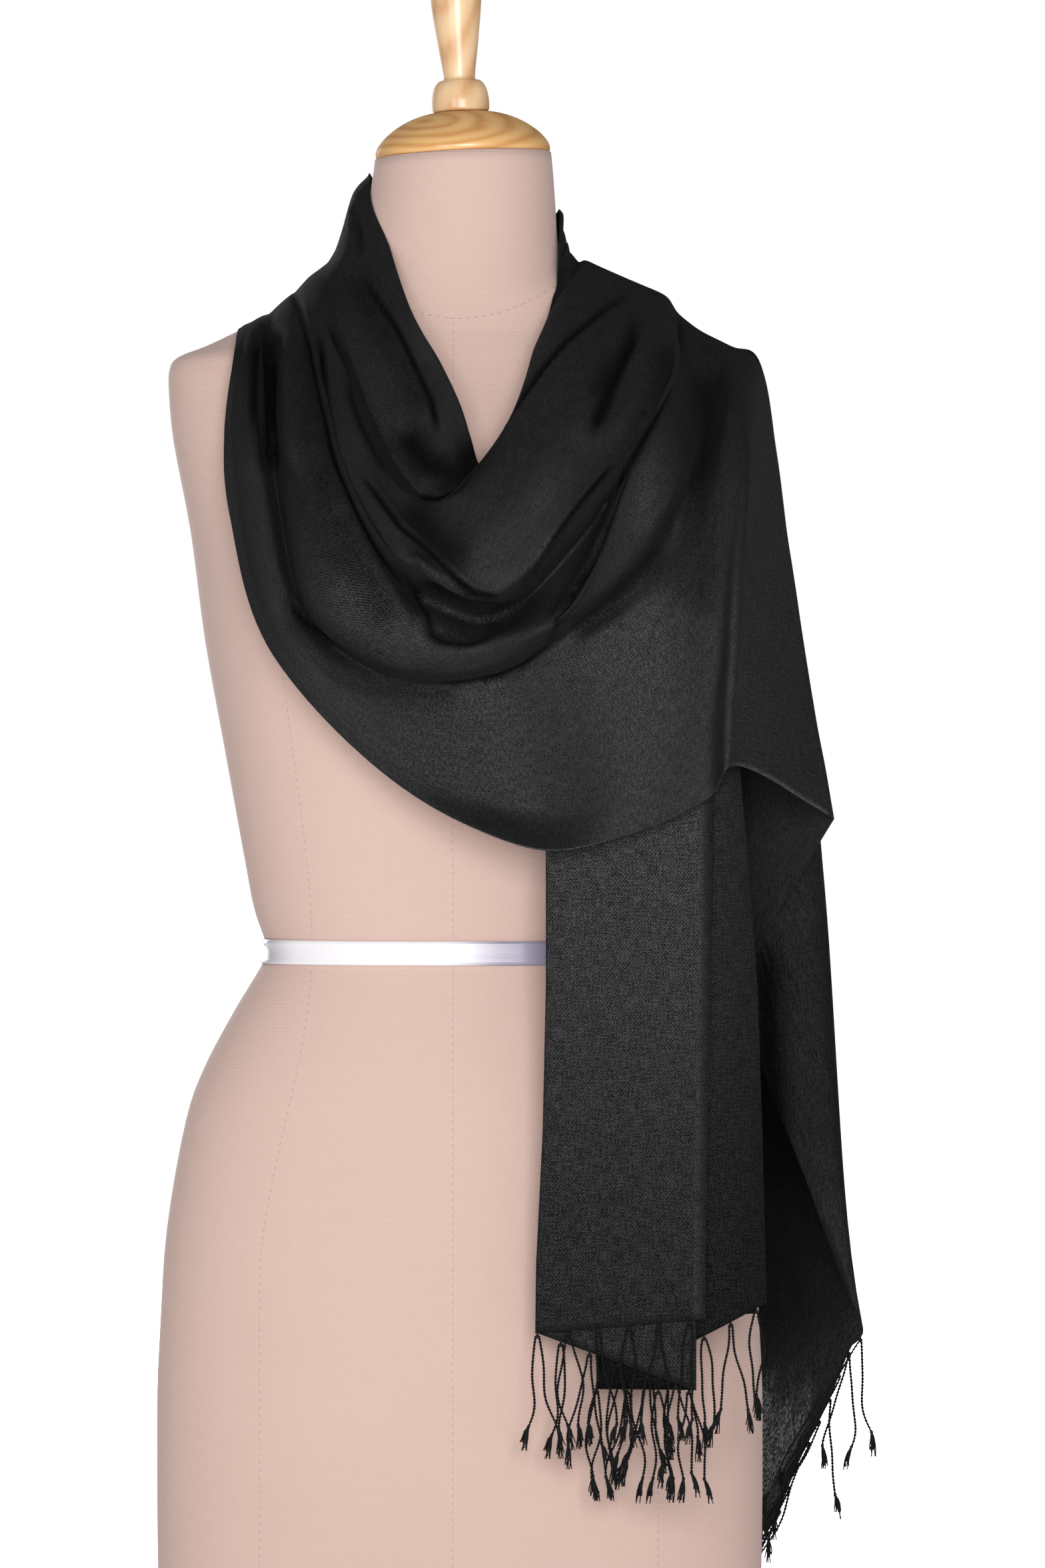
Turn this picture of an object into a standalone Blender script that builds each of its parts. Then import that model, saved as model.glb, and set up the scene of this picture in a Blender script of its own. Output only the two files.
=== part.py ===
"""A black silk shawl wound round the neck and shoulders of a limbless dress form.

Metres, +Z up. The front of the form faces -Y and its left side is at +X, so +X is on the right of
someone who looks at it. The origin is the centre of the underside of the base board.
"""

import math

import bmesh
import bpy
from mathutils import Vector
from mathutils.bvhtree import BVHTree

MM = 0.001
FORWARD = Vector((0.0, 1.0, 0.0))
BACKWARD = Vector((0.0, -1.0, 0.0))

# Driving dimensions
GAP = 0.0003
WALL = 0.0012
BOARD_THICKNESS = 0.018
BOARD_INSET = 0.006
BOARD_EDGE = 0.002
TAPE_THICKNESS = 0.001
TAPE_STAND = 0.0012
CAP_TILT = math.radians(2.6)
CAP_FOOT = Vector((0.002, 0.0, 0.9897))
STRAND_LENGTH = 0.066
STRAND_WIDTH = 0.0012
STRAND_SPLAY = 0.003
TUFT_START = 0.74
TUFT_WIDTH = 0.0030
KNOT_SPACING = 0.0187
ROOT_WIDTH = 0.0024
STRIP_HEIGHT = 0.003
STRIP_DROP = 0.0007

# How far the middle of each stretch of cloth stays off what it is laid on
NAPE_CLEARANCE = 0.0011
COWL_CLEARANCE = 0.0022
COWL_CLEARANCE_IN_FRONT = 0.0026
COWL_CLEARANCE_ROUND = 0.0024
TAIL_CLEARANCE_BEHIND = 0.0026
TAIL_CLEARANCE_ROUND = 0.0050
# Where the cowl lies on the folded end, where it turns over the shoulder, and where the cascade does
FALL_SIDE = 0.02
FALL_FRONT = -0.03
SHOULDER_SIDE = 0.05
SHOULDER_HEIGHT = 0.70
BACK_DEPTH = 0.04
BACK_SIDE = 0.16

# How cloth is laid: points tested across a cell, and how its neighbours are drawn along
CELL_STEPS = 5
SETTLE_ROUNDS = 2
FOLLOW_ROUNDS = 2
FOLLOW_SHARE = 0.8
# The place inside the form that cloth on the shoulder is laid towards
BONE_SHARE = 0.8
BONE_REACH = 0.11
BONE_HEIGHT = 0.80
# How cloth hangs in front: how far aside and up it looks for what it hangs over
HANG_SPREAD = 0.012
HANG_STEPS = 16
HANG_STEP = 0.02
HANG_SLOPE = 0.0012
HANG_BACKSTOP = -0.05

# Steps of each stretch of cloth, and how much closer they lie near its ends
FALL_LEVELS = 14
FALL_SPLITS = (0.33, 0.67)
OVER_STEPS = 5
NAPE_STEPS = 13
COWL_STEPS = 27
TAIL_LEVELS = 13
CROWDING = 0.55

# The form, one row for each level: height, half width, depth in front, depth behind, roundness
FORM_COLUMNS = ("height", "half_width", "front", "back", "roundness")
FORM = (
    (0.0183, 0.1830, 0.100, 0.118, 2.3),
    (0.0600, 0.1870, 0.102, 0.121, 2.3),
    (0.1004, 0.1900, 0.104, 0.124, 2.3),
    (0.1974, 0.1907, 0.106, 0.127, 2.3),
    (0.2478, 0.1890, 0.107, 0.127, 2.3),
    (0.3150, 0.1844, 0.105, 0.122, 2.3),
    (0.3822, 0.1726, 0.100, 0.112, 2.3),
    (0.4158, 0.1609, 0.096, 0.103, 2.3),
    (0.4494, 0.1432, 0.090, 0.093, 2.3),
    (0.4662, 0.1331, 0.087, 0.088, 2.3),
    (0.4815, 0.1240, 0.085, 0.085, 2.3),
    (0.4890, 0.1216, 0.085, 0.085, 2.3),
    (0.4965, 0.1230, 0.085, 0.085, 2.3),
    (0.5166, 0.1298, 0.087, 0.087, 2.3),
    (0.5502, 0.1361, 0.091, 0.091, 2.3),
    (0.6174, 0.1483, 0.099, 0.098, 2.3),
    (0.6846, 0.1604, 0.105, 0.104, 2.35),
    (0.7518, 0.1693, 0.106, 0.107, 2.4),
    (0.8080, 0.1800, 0.098, 0.105, 2.4),
    (0.8400, 0.1832, 0.085, 0.098, 2.4),
    (0.8560, 0.1826, 0.078, 0.092, 2.35),
    (0.8630, 0.1765, 0.075, 0.088, 2.3),
    (0.8695, 0.1600, 0.072, 0.085, 2.2),
    (0.8790, 0.1400, 0.068, 0.080, 2.1),
    (0.8960, 0.1040, 0.064, 0.073, 2.0),
    (0.9120, 0.0720, 0.061, 0.066, 2.0),
    (0.9300, 0.0630, 0.059, 0.063, 2.0),
    (0.9600, 0.0590, 0.057, 0.060, 2.0),
    (0.9893, 0.0555, 0.0555, 0.0555, 2.0),
)
FORM_SEGMENTS = 36
NECK_TILT_FROM = 0.930
BUST = {"across": 0.085, "height": 0.700, "spread": 0.055, "depth": 0.024}
TAPE_LEVELS = (10, 11, 12)

# Turned wood, one row for each point of the profile: radius, height above the foot of the cap
CAP_PROFILE = (
    (0.0000, 0.0275),
    (0.0170, 0.0272),
    (0.0290, 0.0245),
    (0.0390, 0.0200),
    (0.0475, 0.0140),
    (0.0545, 0.0060),
    (0.0558, 0.0030),
    (0.0552, 0.0000),
    (0.0000, 0.0000),
)
FINIAL_PROFILE = (
    (0.0000, 0.1390),
    (0.0075, 0.1375),
    (0.0135, 0.1310),
    (0.0163, 0.1200),
    (0.0165, 0.1090),
    (0.0155, 0.0930),
    (0.0126, 0.0700),
    (0.0104, 0.0550),
    (0.0099, 0.0480),
    (0.0135, 0.0450),
    (0.0158, 0.0380),
    (0.0174, 0.0320),
    (0.0176, 0.0285),
    (0.0165, 0.0278),
    (0.0000, 0.0278),
)

# The folds of the wound stretch, from the neck edge to the lower selvedge, in millimetres.
# Each row is one ridge or valley. Its front points run from the top of the right shoulder, down
# across the chest and up to the top of the left shoulder, as (across, up). swell is how far it
# stands off the chest at the middle. nape is its (up, swell) behind the neck, and start its
# (across, up) on the left shoulder, under the end that crosses over it.
FOLD_COLUMNS = ("name", "swell", "nape", "start", "front")
FOLDS = (
    ("neck_edge", 14, (974, 6), (63, 950),
     ((-56, 974), (-32, 894), (-11, 854), (1, 828), (7, 809), (13, 790),
      (22, 790), (38, 814), (47, 852), (57, 891), (67, 930))),
    ("collar_ridge", 24, (958, 15), (66, 936),
     ((-67, 962), (-45, 889), (-26, 842), (-13, 809), (-6, 786), (3, 774),
      (22, 776), (42, 804), (54, 843), (62, 884), (70, 928))),
    ("pocket", 14, (930, 8), (69, 918),
     ((-77, 932), (-74, 886), (-57, 830), (-44, 801), (-31, 780), (-13, 761),
      (15, 763), (46, 794), (62, 835), (68, 877), (75, 922))),
    ("cowl_lip", 42, (934, 22), (74, 915),
     ((-83, 922), (-82, 886), (-64, 834), (-53, 809), (-37, 777), (-14, 766),
      (10, 787), (30, 816), (42, 847), (54, 886), (79, 924))),
    ("first_roll", 56, (914, 26), (80, 912),
     ((-88, 914), (-87, 881), (-69, 830), (-58, 802), (-43, 764), (-15, 747),
      (18, 757), (48, 792), (66, 835), (80, 877), (88, 920))),
    ("first_roll_face", 60, (898, 24), (86, 909),
     ((-94, 909), (-90, 878), (-75, 827), (-64, 795), (-45, 752), (-15, 735),
      (24, 733), (62, 770), (90, 817), (103, 865), (108, 911))),
    ("first_roll_foot", 62, (884, 24), (92, 906),
     ((-100, 905), (-93, 876), (-79, 823), (-70, 787), (-44, 739), (-14, 723),
      (24, 710), (70, 757), (108, 806), (132, 852), (130, 902))),
    ("hollow", 26, (890, 9), (98, 902),
     ((-104, 899), (-95, 871), (-83, 818), (-73, 782), (-46, 730), (-17, 704),
      (26, 696), (73, 741), (107, 792), (135, 846), (136, 892))),
    ("second_roll", 46, (876, 20), (104, 901),
     ((-108, 901), (-99, 874), (-87, 821), (-77, 784), (-51, 728), (-17, 686),
      (26, 683), (72, 707), (101, 774), (131, 832), (140, 888))),
    ("second_roll_foot", 38, (848, 20), (112, 897),
     ((-115, 895), (-111, 869), (-106, 822), (-101, 774), (-84, 705), (-35, 667),
      (20, 667), (66, 696), (107, 735), (142, 797), (149, 881))),
    ("crease", 13, (854, 8), (118, 892),
     ((-120, 890), (-119, 863), (-116, 817), (-111, 768), (-92, 696), (-40, 659),
      (22, 660), (75, 691), (124, 731), (153, 813), (156, 877))),
    ("panel_top", 14, (834, 10), (124, 890),
     ((-124, 889), (-122, 862), (-121, 816), (-117, 766), (-97, 691), (-40, 645),
      (30, 637), (87, 662), (142, 715), (167, 826), (172, 869))),
    ("panel_upper", 15, (810, 8), (130, 887),
     ((-128, 887), (-126, 861), (-127, 815), (-122, 764), (-102, 686), (-40, 632),
      (36, 617), (95, 635), (148, 682), (176, 794), (190, 858))),
    ("panel_middle", 15, (786, 7), (136, 884),
     ((-131, 885), (-131, 860), (-133, 814), (-129, 762), (-106, 682), (-40, 620),
      (40, 596), (100, 611), (150, 647), (176, 738), (203, 777))),
    ("panel_lower", 14, (760, 6), (142, 881),
     ((-135, 883), (-135, 859), (-139, 813), (-135, 760), (-111, 678), (-40, 607),
      (42, 575), (103, 586), (150, 615), (174, 670), (219, 668))),
    ("lower_selvedge", 12, (736, 5), (148, 878),
     ((-138, 880), (-140, 858), (-145, 811), (-141, 758), (-115, 675), (-40, 596),
      (44, 555), (105, 563), (152, 584), (172, 605), (236, 572))),
)
# Share of a fold's swell that shows at each front point, from shoulder to shoulder
SWELL_SHARE = (0.0, 0.38, 0.66, 0.8, 0.95, 1.0, 1.0, 0.92, 0.7, 0.45, 0.0)
# First fold row whose last points turn round the arm side instead of lying on the shoulder
ARM_ROW = 11
# Column of the net that lies on the right shoulder
RIGHT_SHOULDER = 7
# Where its columns lie round the nape, from shoulder to shoulder
NAPE_SHARES = (0.14, 0.32, 0.5, 0.68, 0.86)
# How round the nape's path is, seen from above, and how fast it drops to the shoulders
NAPE_ROUNDING = 0.8
NAPE_DROP = 2.4
# How far before the right shoulder the nape's stretch ends, in columns
NAPE_END = 0.02
# How far behind the front plane those rows lie, in millimetres: at the arm ridge, at the outer fold
ARM_DEPTH = ((-96, -8), (-112, -2), (-132, 0), (-146, 0), (-152, 2))

# The lengthwise folds of the front end: level, then the sideways place of each fold from the
# outer selvedge inwards, in millimetres, and the depth of its back face
FALL_COLUMNS = ("height", "selvedge", "left_fold", "second_fold", "third_fold", "right_fold",
                "hidden_fold", "inner_edge", "back_depth", "pitch")
FALL = (
    (0.862, 112, 58, 108, 84, 120, 62, 117, 76.5, 1.60),
    (0.820, 122, 58, 116, 84, 132, 62, 130, 98.5, 1.65),
    (0.770, 136, 58, 128, 85, 144, 64, 142, 116.5, 1.70),
    (0.745, 141, 58, 132, 85, 150, 63, 147, 120.5, 1.72),
    (0.710, 148, 56, 138, 85, 160, 60, 156, 123.5, 1.75),
    (0.640, 156, 54, 144, 85, 170, 58, 166, 124.5, 1.80),
    (0.560, 157, 54, 146, 85, 177, 58, 172, 124.5, 1.90),
    (0.470, 155, 54, 146, 85, 184, 58, 178, 124.0, 2.00),
    (0.380, 153, 52, 146, 85, 187, 56, 181, 123.0, 2.10),
    (0.300, 152, 48, 146, 85, 189, 52, 183, 122.0, 2.20),
    (0.220, 151, 47, 146, 85, 191, 51, 185, 121.0, 2.30),
)
# Height of the fringed end along the same folds, in metres
FALL_HEM = (0.266, 0.257, 0.222, 0.2225, 0.274, 0.262, 0.268)
FALL_TOP = 0.862
# Where the gathered cloth leaves the top of that end for the shoulder, inner and outer side
GATHER = (Vector((0.058, -0.0800, 0.8665)), Vector((0.119, -0.0800, 0.8665)))
GATHER_WAVE = 0.0016

# The cascade behind the left arm: level, then (across, back) of each fold in millimetres, from the
# outer fold that it shares with the cowl to the edge that lies nearest the spine
TAIL_COLUMNS = ("height", "outer", "first_turn", "second_turn", "side", "wave_1", "wave_2",
                "wave_3", "wave_4", "spine_edge")
TAIL = (
    (0.930, (192, 3), (186, 12), (190, 18), (168, 34), (140, 50), (120, 58), (100, 64),
     (84, 64), (66, 66)),
    (0.880, (196, 3), (188, 22), (194, 28), (176, 60), (150, 84), (124, 88), (100, 96),
     (78, 94), (54, 98)),
    (0.830, (199, 3), (189, 30), (197, 36), (186, 80), (156, 108), (126, 112), (99, 124),
     (73, 120), (46, 126)),
    (0.780, (203, 3), (184, 34), (203, 40), (190, 90), (158, 122), (126, 126), (98, 142),
     (68, 136), (38, 144)),
    (0.640, (225, 3), (170, 48), (226, 44), (198, 112), (166, 142), (134, 128), (104, 152),
     (70, 134), (34, 150)),
    (0.500, (240, 3), (170, 58), (241, 44), (194, 140), (164, 158), (134, 132), (100, 158),
     (62, 134), (24, 152)),
    (0.340, (252, 3), (196, 62), (250, 44), (196, 152), (164, 168), (132, 140), (96, 166),
     (56, 142), (16, 156)),
    (0.280, (257, 3), (200, 62), (256, 44), (197, 154), (164, 170), (131, 142), (95, 168),
     (54, 144), (13, 158)),
    (0.230, (262, 3), (202, 62), (266, 44), (198, 156), (164, 174), (130, 144), (94, 172),
     (52, 146), (10, 160)),
)
# How far below the shoulder each fold has drawn aside to its place, as (fold number, drop)
TAIL_FALL = ((0.0, 0.05), (2.0, 0.06), (3.0, 0.12), (8.0, 0.20))
# How much closer its levels lie near the shoulder
TAIL_CROWDING = 2.2
# Row of FOLDS that lies at the corner of the left shoulder
TAIL_CORNER_ROW = 12
# How far below its crest the cloth has turned over the shoulder
TAIL_OVER = 0.03
# How much of each stretch between two folds belongs to the turn at its end
TURN_SHARE = 0.2
# Fold at whose foot the selvedge meets the fringed end
HEM_CORNER = 2
# How far the cascade starts behind the end of the cowl
TAIL_SET_BACK = 0.0022
# The cut of that end, as (fold number, height): its selvedge from the outer fold inwards, then
# its fringed end
TAIL_SELVEDGE = ((0.0, 0.572), (0.6, 0.506), (1.0, 0.440), (1.15, 0.400), (1.85, 0.262),
                 (2.0, 0.247))
TAIL_HEM = ((2.0, 0.247), (2.25, 0.234), (2.45, 0.196), (2.7, 0.158), (2.9, 0.121), (3.07, 0.106),
            (4.0, 0.112), (5.2, 0.150), (6.4, 0.186), (8.0, 0.232))

COLOURS = {
    "silk": ((0.012, 0.012, 0.014), 0.45, 0.0),
    "jersey": ((0.72, 0.58, 0.50), 0.85, 0.0),
    "satin": ((0.82, 0.80, 0.84), 0.35, 0.0),
    "pine": ((0.62, 0.36, 0.16), 0.35, 0.0),
    "board": ((0.55, 0.40, 0.25), 0.5, 0.0),
}


def clear_scene():
    for obj in list(bpy.data.objects):
        bpy.data.objects.remove(obj, do_unlink=True)


def principled(name):
    """A Principled material in the named finish."""
    found = bpy.data.materials.get(name)
    if found:
        return found
    colour, roughness, metallic = COLOURS[name]
    material = bpy.data.materials.new(name)
    material.use_nodes = True
    shader = material.node_tree.nodes["Principled BSDF"]
    shader.inputs["Base Color"].default_value = (*colour, 1.0)
    shader.inputs["Roughness"].default_value = roughness
    shader.inputs["Metallic"].default_value = metallic
    return material


def add_object(name, bm, finish, collection):
    """Puts a bmesh into the scene as a smooth-shaded object."""
    mesh = bpy.data.meshes.new(name)
    bm.normal_update()
    bm.to_mesh(mesh)
    bm.free()
    mesh.shade_smooth()
    obj = bpy.data.objects.new(name, mesh)
    obj.data.materials.append(principled(finish))
    collection.objects.link(obj)
    return obj


def between(a, b, share):
    return a + (b - a) * share


def ease(x):
    """0 to 1 with a level start and end."""
    x = min(max(x, 0.0), 1.0)
    return x * x * (3.0 - 2.0 * x)


def spline(points, at):
    """Catmull-Rom curve through vectors, where at runs from 0 to the last index."""
    last = len(points) - 1
    at = min(max(at, 0.0), float(last))
    index = min(int(at), last - 1)
    t = at - index
    b = points[index]
    c = points[index + 1]
    a = points[index - 1] if index > 0 else b * 2.0 - c
    d = points[index + 2] if index + 2 <= last else c * 2.0 - b
    return (b * 2.0 + (c - a) * t + (a * 2.0 - b * 5.0 + c * 4.0 - d) * t * t
            + (b * 3.0 - a - c * 3.0 + d) * t * t * t) * 0.5


def table_at(rows, height):
    """The table's numbers at a height, read straight between its rows. Rows run up or down."""
    ordered = rows if rows[0][0] < rows[-1][0] else rows[::-1]
    if height <= ordered[0][0]:
        return ordered[0][1:]
    for low, high in zip(ordered, ordered[1:]):
        if height <= high[0]:
            share = (height - low[0]) / (high[0] - low[0])
            return tuple(between(Vector(p), Vector(q), share) if isinstance(p, tuple)
                         else between(p, q, share) for p, q in zip(low[1:], high[1:]))
    return ordered[-1][1:]


def line_at(points, at):
    """Height of a broken line of (place, height) points."""
    if at <= points[0][0]:
        return points[0][1]
    for (p, low), (q, high) in zip(points, points[1:]):
        if at <= q:
            return between(low, high, (at - p) / (q - p))
    return points[-1][1]


def bust(x, z):
    """How far the bust stands out at a place on the front."""
    total = 0.0
    for side in (-1.0, 1.0):
        away = (x - side * BUST["across"]) ** 2 + (z - BUST["height"]) ** 2
        total += math.exp(-away / (2.0 * BUST["spread"] ** 2))
    return BUST["depth"] * total


def form_point(level, angle):
    """A point of the form's skin at one level of its table."""
    height, half_width, front, back, roundness = level
    c = math.cos(angle)
    s = math.sin(angle)
    x = half_width * math.copysign(abs(c) ** (2.0 / roundness), c)
    depth = abs(s) ** (2.0 / roundness)
    if s < 0.0:
        y = -front * depth - bust(x, height) * min(1.0, depth * 1.5)
    else:
        y = back * depth
    tilt = ease((height - NECK_TILT_FROM) / (CAP_FOOT.z - NECK_TILT_FROM))
    return Vector((x + CAP_FOOT.x * tilt, y, height + x * math.tan(CAP_TILT) * tilt))


def ring_angles(count):
    return [math.tau * i / count for i in range(count)]


def loft(bm, rings, closed_ends):
    """Skins a stack of equal rings of points, bottom to top, with the faces outwards."""
    rows = [[bm.verts.new(point) for point in ring] for ring in rings]
    for low, high in zip(rows, rows[1:]):
        for i in range(len(low)):
            j = (i + 1) % len(low)
            bm.faces.new((low[i], low[j], high[j], high[i]))
    if closed_ends:
        bm.faces.new(rows[0][::-1])
        bm.faces.new(rows[-1])
    return rows


def build_torso(collection):
    """The padded form: a loft through the levels of its table, whole and closed."""
    bm = bmesh.new()
    angles = ring_angles(FORM_SEGMENTS)
    loft(bm, [[form_point(level, a) for a in angles] for level in FORM], True)
    return add_object("torso", bm, "jersey", collection)


def build_waist_tape(collection):
    """A flat satin tape made from the form's own points at the waist, moved out."""
    bm = bmesh.new()
    angles = ring_angles(FORM_SEGMENTS)
    rings = []
    for index in TAPE_LEVELS:
        ring = []
        for a in angles:
            point = form_point(FORM[index], a)
            out = Vector((point.x, point.y, 0.0)).normalized()
            ring.append(point + out * TAPE_STAND)
        rings.append(ring)
    loft(bm, rings, False)
    tape = add_object("waist_tape", bm, "satin", collection)
    wall = tape.modifiers.new("wall", "SOLIDIFY")
    wall.thickness = TAPE_THICKNESS
    wall.offset = 0.0
    return tape


def build_turned(name, profile, foot, steps, collection):
    """A turned wooden piece: a profile with a Screw modifier, leaning with the neck."""
    bm = bmesh.new()
    verts = [bm.verts.new((radius, 0.0, height)) for radius, height in profile]
    for a, b in zip(verts, verts[1:]):
        bm.edges.new((a, b))
    obj = add_object(name, bm, "pine", collection)
    turn = obj.modifiers.new("turn", "SCREW")
    turn.angle = math.tau
    turn.steps = steps
    turn.render_steps = steps
    turn.use_merge_vertices = True
    turn.merge_threshold = 0.0001
    obj.location = foot
    obj.rotation_euler = (0.0, -CAP_TILT, 0.0)
    return obj


def build_base_board(collection):
    """The plain board that closes the form underneath."""
    bm = bmesh.new()
    height, half_width, front, back, roundness = FORM[0]
    inset = (half_width - BOARD_INSET, front - BOARD_INSET, back - BOARD_INSET, roundness)
    angles = ring_angles(FORM_SEGMENTS)
    rings = []
    for level, shrink in ((0.0, BOARD_EDGE), (BOARD_EDGE, 0.0),
                          (BOARD_THICKNESS - BOARD_EDGE, 0.0), (BOARD_THICKNESS, BOARD_EDGE)):
        ring = []
        for a in angles:
            flat = form_point((0.0, inset[0] - shrink, inset[1] - shrink, inset[2] - shrink,
                               inset[3]), a)
            ring.append(Vector((flat.x, flat.y, level)))
        rings.append(ring)
    loft(bm, rings, True)
    return add_object("base_board", bm, "board", collection)


def tree_of(*objects):
    """A search tree over the evaluated meshes of objects."""
    bpy.context.view_layer.update()
    graph = bpy.context.evaluated_depsgraph_get()
    points = []
    faces = []
    for obj in objects:
        mesh = obj.evaluated_get(graph).to_mesh()
        start = len(points)
        points.extend(obj.matrix_world @ v.co for v in mesh.vertices)
        faces.extend(tuple(start + i for i in p.vertices) for p in mesh.polygons)
    return BVHTree.FromPolygons(points, faces)


def lay_on(tree, point, way, clearance):
    """Moves a point back against way, where it lies nearer than clearance to what it is laid on."""
    reach = 1.0
    hit = tree.ray_cast(point - way * reach, way)[0]
    if hit is None:
        return point
    deepest = (hit - (point - way * reach)).length - clearance
    return point - way * (reach - deepest) if deepest < reach else point


def push_out(tree, point, clearance):
    """Moves a point straight off the nearest skin until it has its clearance."""
    near, normal, _, distance = tree.find_nearest(point)
    inside = (point - near).dot(normal) < 0.0
    if inside:
        return near + normal * clearance
    if distance < 1e-6:
        return near + normal * clearance
    if distance < clearance:
        return near + (point - near).normalized() * clearance
    return point


def hang_depth(tree, x, z):
    """How far forward cloth hangs at a place: on what it covers, or straight down from it."""
    deepest = HANG_BACKSTOP
    for aside in (-HANG_SPREAD, 0.0, HANG_SPREAD):
        for step in range(HANG_STEPS):
            start = Vector((x + aside, -1.0, z + step * HANG_STEP))
            hit = tree.ray_cast(start, FORWARD)[0]
            if hit is not None:
                deepest = min(deepest, hit.y + step * HANG_SLOPE)
    return deepest


def wound_net(form_tree, chest_tree):
    """The net of points that the wound stretch is drawn through: a row for each fold.

    Its columns run from the top of the folded end over the left shoulder, round the nape, over
    the right shoulder, across the chest and back to the left shoulder.
    """
    net = []
    for index, (name, swell, nape, start, front) in enumerate(FOLDS):
        right = Vector((front[0][0] * MM, 0.0, front[0][1] * MM))
        left = Vector((start[0] * MM, 0.0, start[1] * MM))
        height, stand = nape[0] * MM, nape[1] * MM
        depth = form_tree.ray_cast(Vector((0.0, 1.0, height)), BACKWARD)[0].y + stand
        side = index / (len(FOLDS) - 1.0)
        gather = between(GATHER[0], GATHER[1], side)
        row = [gather + Vector((0.0, GATHER_WAVE * (-1.0) ** index, 0.0)), left]
        for share in NAPE_SHARES:
            angle = math.pi * share
            top = left if share < 0.5 else right
            reach = abs(math.cos(angle))
            x = top.x * reach ** NAPE_ROUNDING
            z = between(height, top.z, reach ** NAPE_DROP)
            row.append(Vector((x, depth * math.sin(angle) ** NAPE_ROUNDING, z)))
        row.append(right)
        for column, (across, up) in enumerate(front[1:], 1):
            x = across * MM
            z = up * MM
            arm = index - ARM_ROW
            if arm >= 0 and column >= len(front) - 2:
                y = ARM_DEPTH[arm][column - len(front) + 2] * MM
            elif column == len(front) - 1:
                y = 0.0
            else:
                y = hang_depth(chest_tree, x, z) - swell * SWELL_SHARE[column] * MM
            row.append(Vector((x, y, z)))
        net.append(row)
    return net


def net_point(net, across, along):
    """A smooth point of the net, across its rows and along its columns."""
    first = min(max(int(across) - 1, 0), len(net) - 4)
    rows = [spline(net[i], along) for i in range(first, first + 4)]
    return spline(rows, across - first)


def sheet(bm, grid):
    """Skins a grid of points as one open sheet. It returns the grid's vertices."""
    verts = [[bm.verts.new(point) for point in row] for row in grid]
    for low, high in zip(verts, verts[1:]):
        for a, b, c, d in zip(low, low[1:], high[1:], high):
            bm.faces.new((a, b, c, d))
    return verts


def add_wall(obj):
    """Gives an open sheet of cloth its thickness, half to each side."""
    wall = obj.modifiers.new("wall", "SOLIDIFY")
    wall.thickness = WALL
    wall.offset = 0.0
    return obj


def fractions(start, end, count):
    return [between(start, end, i / count) for i in range(count + 1)]


def settle_once(grid, chosen, placed):
    """Tests a grid at its points and between them, and moves its points to suit."""
    steps = fractions(0.0, 1.0, CELL_STEPS)
    for i in range(len(grid) - 1):
        for j in range(len(grid[0]) - 1):
            corners = ((i, j), (i, j + 1), (i + 1, j), (i + 1, j + 1))
            for u in steps:
                for v in steps:
                    weights = ((1 - u) * (1 - v), (1 - u) * v, u * (1 - v), u * v)
                    point = sum((grid[k][m] * w for (k, m), w in zip(corners, weights)), Vector())
                    if not chosen(point):
                        continue
                    move = placed(point) - point
                    if move.length < 1e-6:
                        continue
                    move /= sum(w * w for w in weights)
                    for (k, m), w in zip(corners, weights):
                        grid[k][m] += move * w


def follow(grid, before):
    """Draws points after their neighbours that moved further, so that no step is left."""
    for _ in range(FOLLOW_ROUNDS):
        moves = [[p - q for p, q in zip(line, old)] for line, old in zip(grid, before)]
        for i, line in enumerate(grid):
            for j in range(len(line)):
                beside = [moves[k][m] for k, m in ((i - 1, j), (i + 1, j), (i, j - 1), (i, j + 1))
                          if 0 <= k < len(grid) and 0 <= m < len(line)]
                mean = sum(beside, Vector()) * (FOLLOW_SHARE / len(beside))
                if mean.length > moves[i][j].length:
                    line[j] = before[i][j] + mean


def settle(grid, chosen, placed):
    """Moves a grid until it lies where placed puts it, with its neighbours drawn along."""
    before = [list(line) for line in grid]
    for _ in range(SETTLE_ROUNDS):
        settle_once(grid, chosen, placed)
    follow(grid, before)
    settle_once(grid, chosen, placed)


def bone(point):
    """The place deep inside the form that cloth near a point is laid towards."""
    across = min(max(point.x * BONE_SHARE, -BONE_REACH), BONE_REACH)
    return Vector((across, 0.0, min(point.z, BONE_HEIGHT)))


def lay_round(tree, point, clearance):
    """Moves a point away from the inside of the form until it clears what it is laid on."""
    inside = bone(point)
    out = (point - inside).normalized()
    hit = tree.ray_cast(inside + out, -out)[0]
    if hit is None:
        return point
    needed = (hit - inside).length + clearance
    return inside + out * max(needed, (point - inside).length)


def crowded(start, end, count):
    """Fractions from start to end that crowd together towards both."""
    return [between(start, end, t - CROWDING * math.sin(math.tau * t) / math.tau)
            for t in fractions(0.0, 1.0, count)]


def wound_grid(net, stations):
    """Points of one stretch of the wound cloth, a row for each half fold."""
    rows = fractions(0.0, len(net) - 1.0, 2 * (len(net) - 1))
    return [[net_point(net, across, along) for along in stations] for across in rows]


def turned(corners, place, share):
    """A point of a broken line whose inner corners are rounded. place counts its corners."""
    last = len(corners) - 1
    place = min(max(place, 0.0), float(last))
    near = int(place + 0.5)
    if 0 < near < last and abs(place - near) < share:
        start = between(corners[near], corners[near - 1], share)
        end = between(corners[near], corners[near + 1], share)
        t = (place - near + share) / (2.0 * share)
        return between(between(start, corners[near], t), between(corners[near], end, t), t)
    index = min(int(place), last - 1)
    return between(corners[index], corners[index + 1], place - index)


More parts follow.
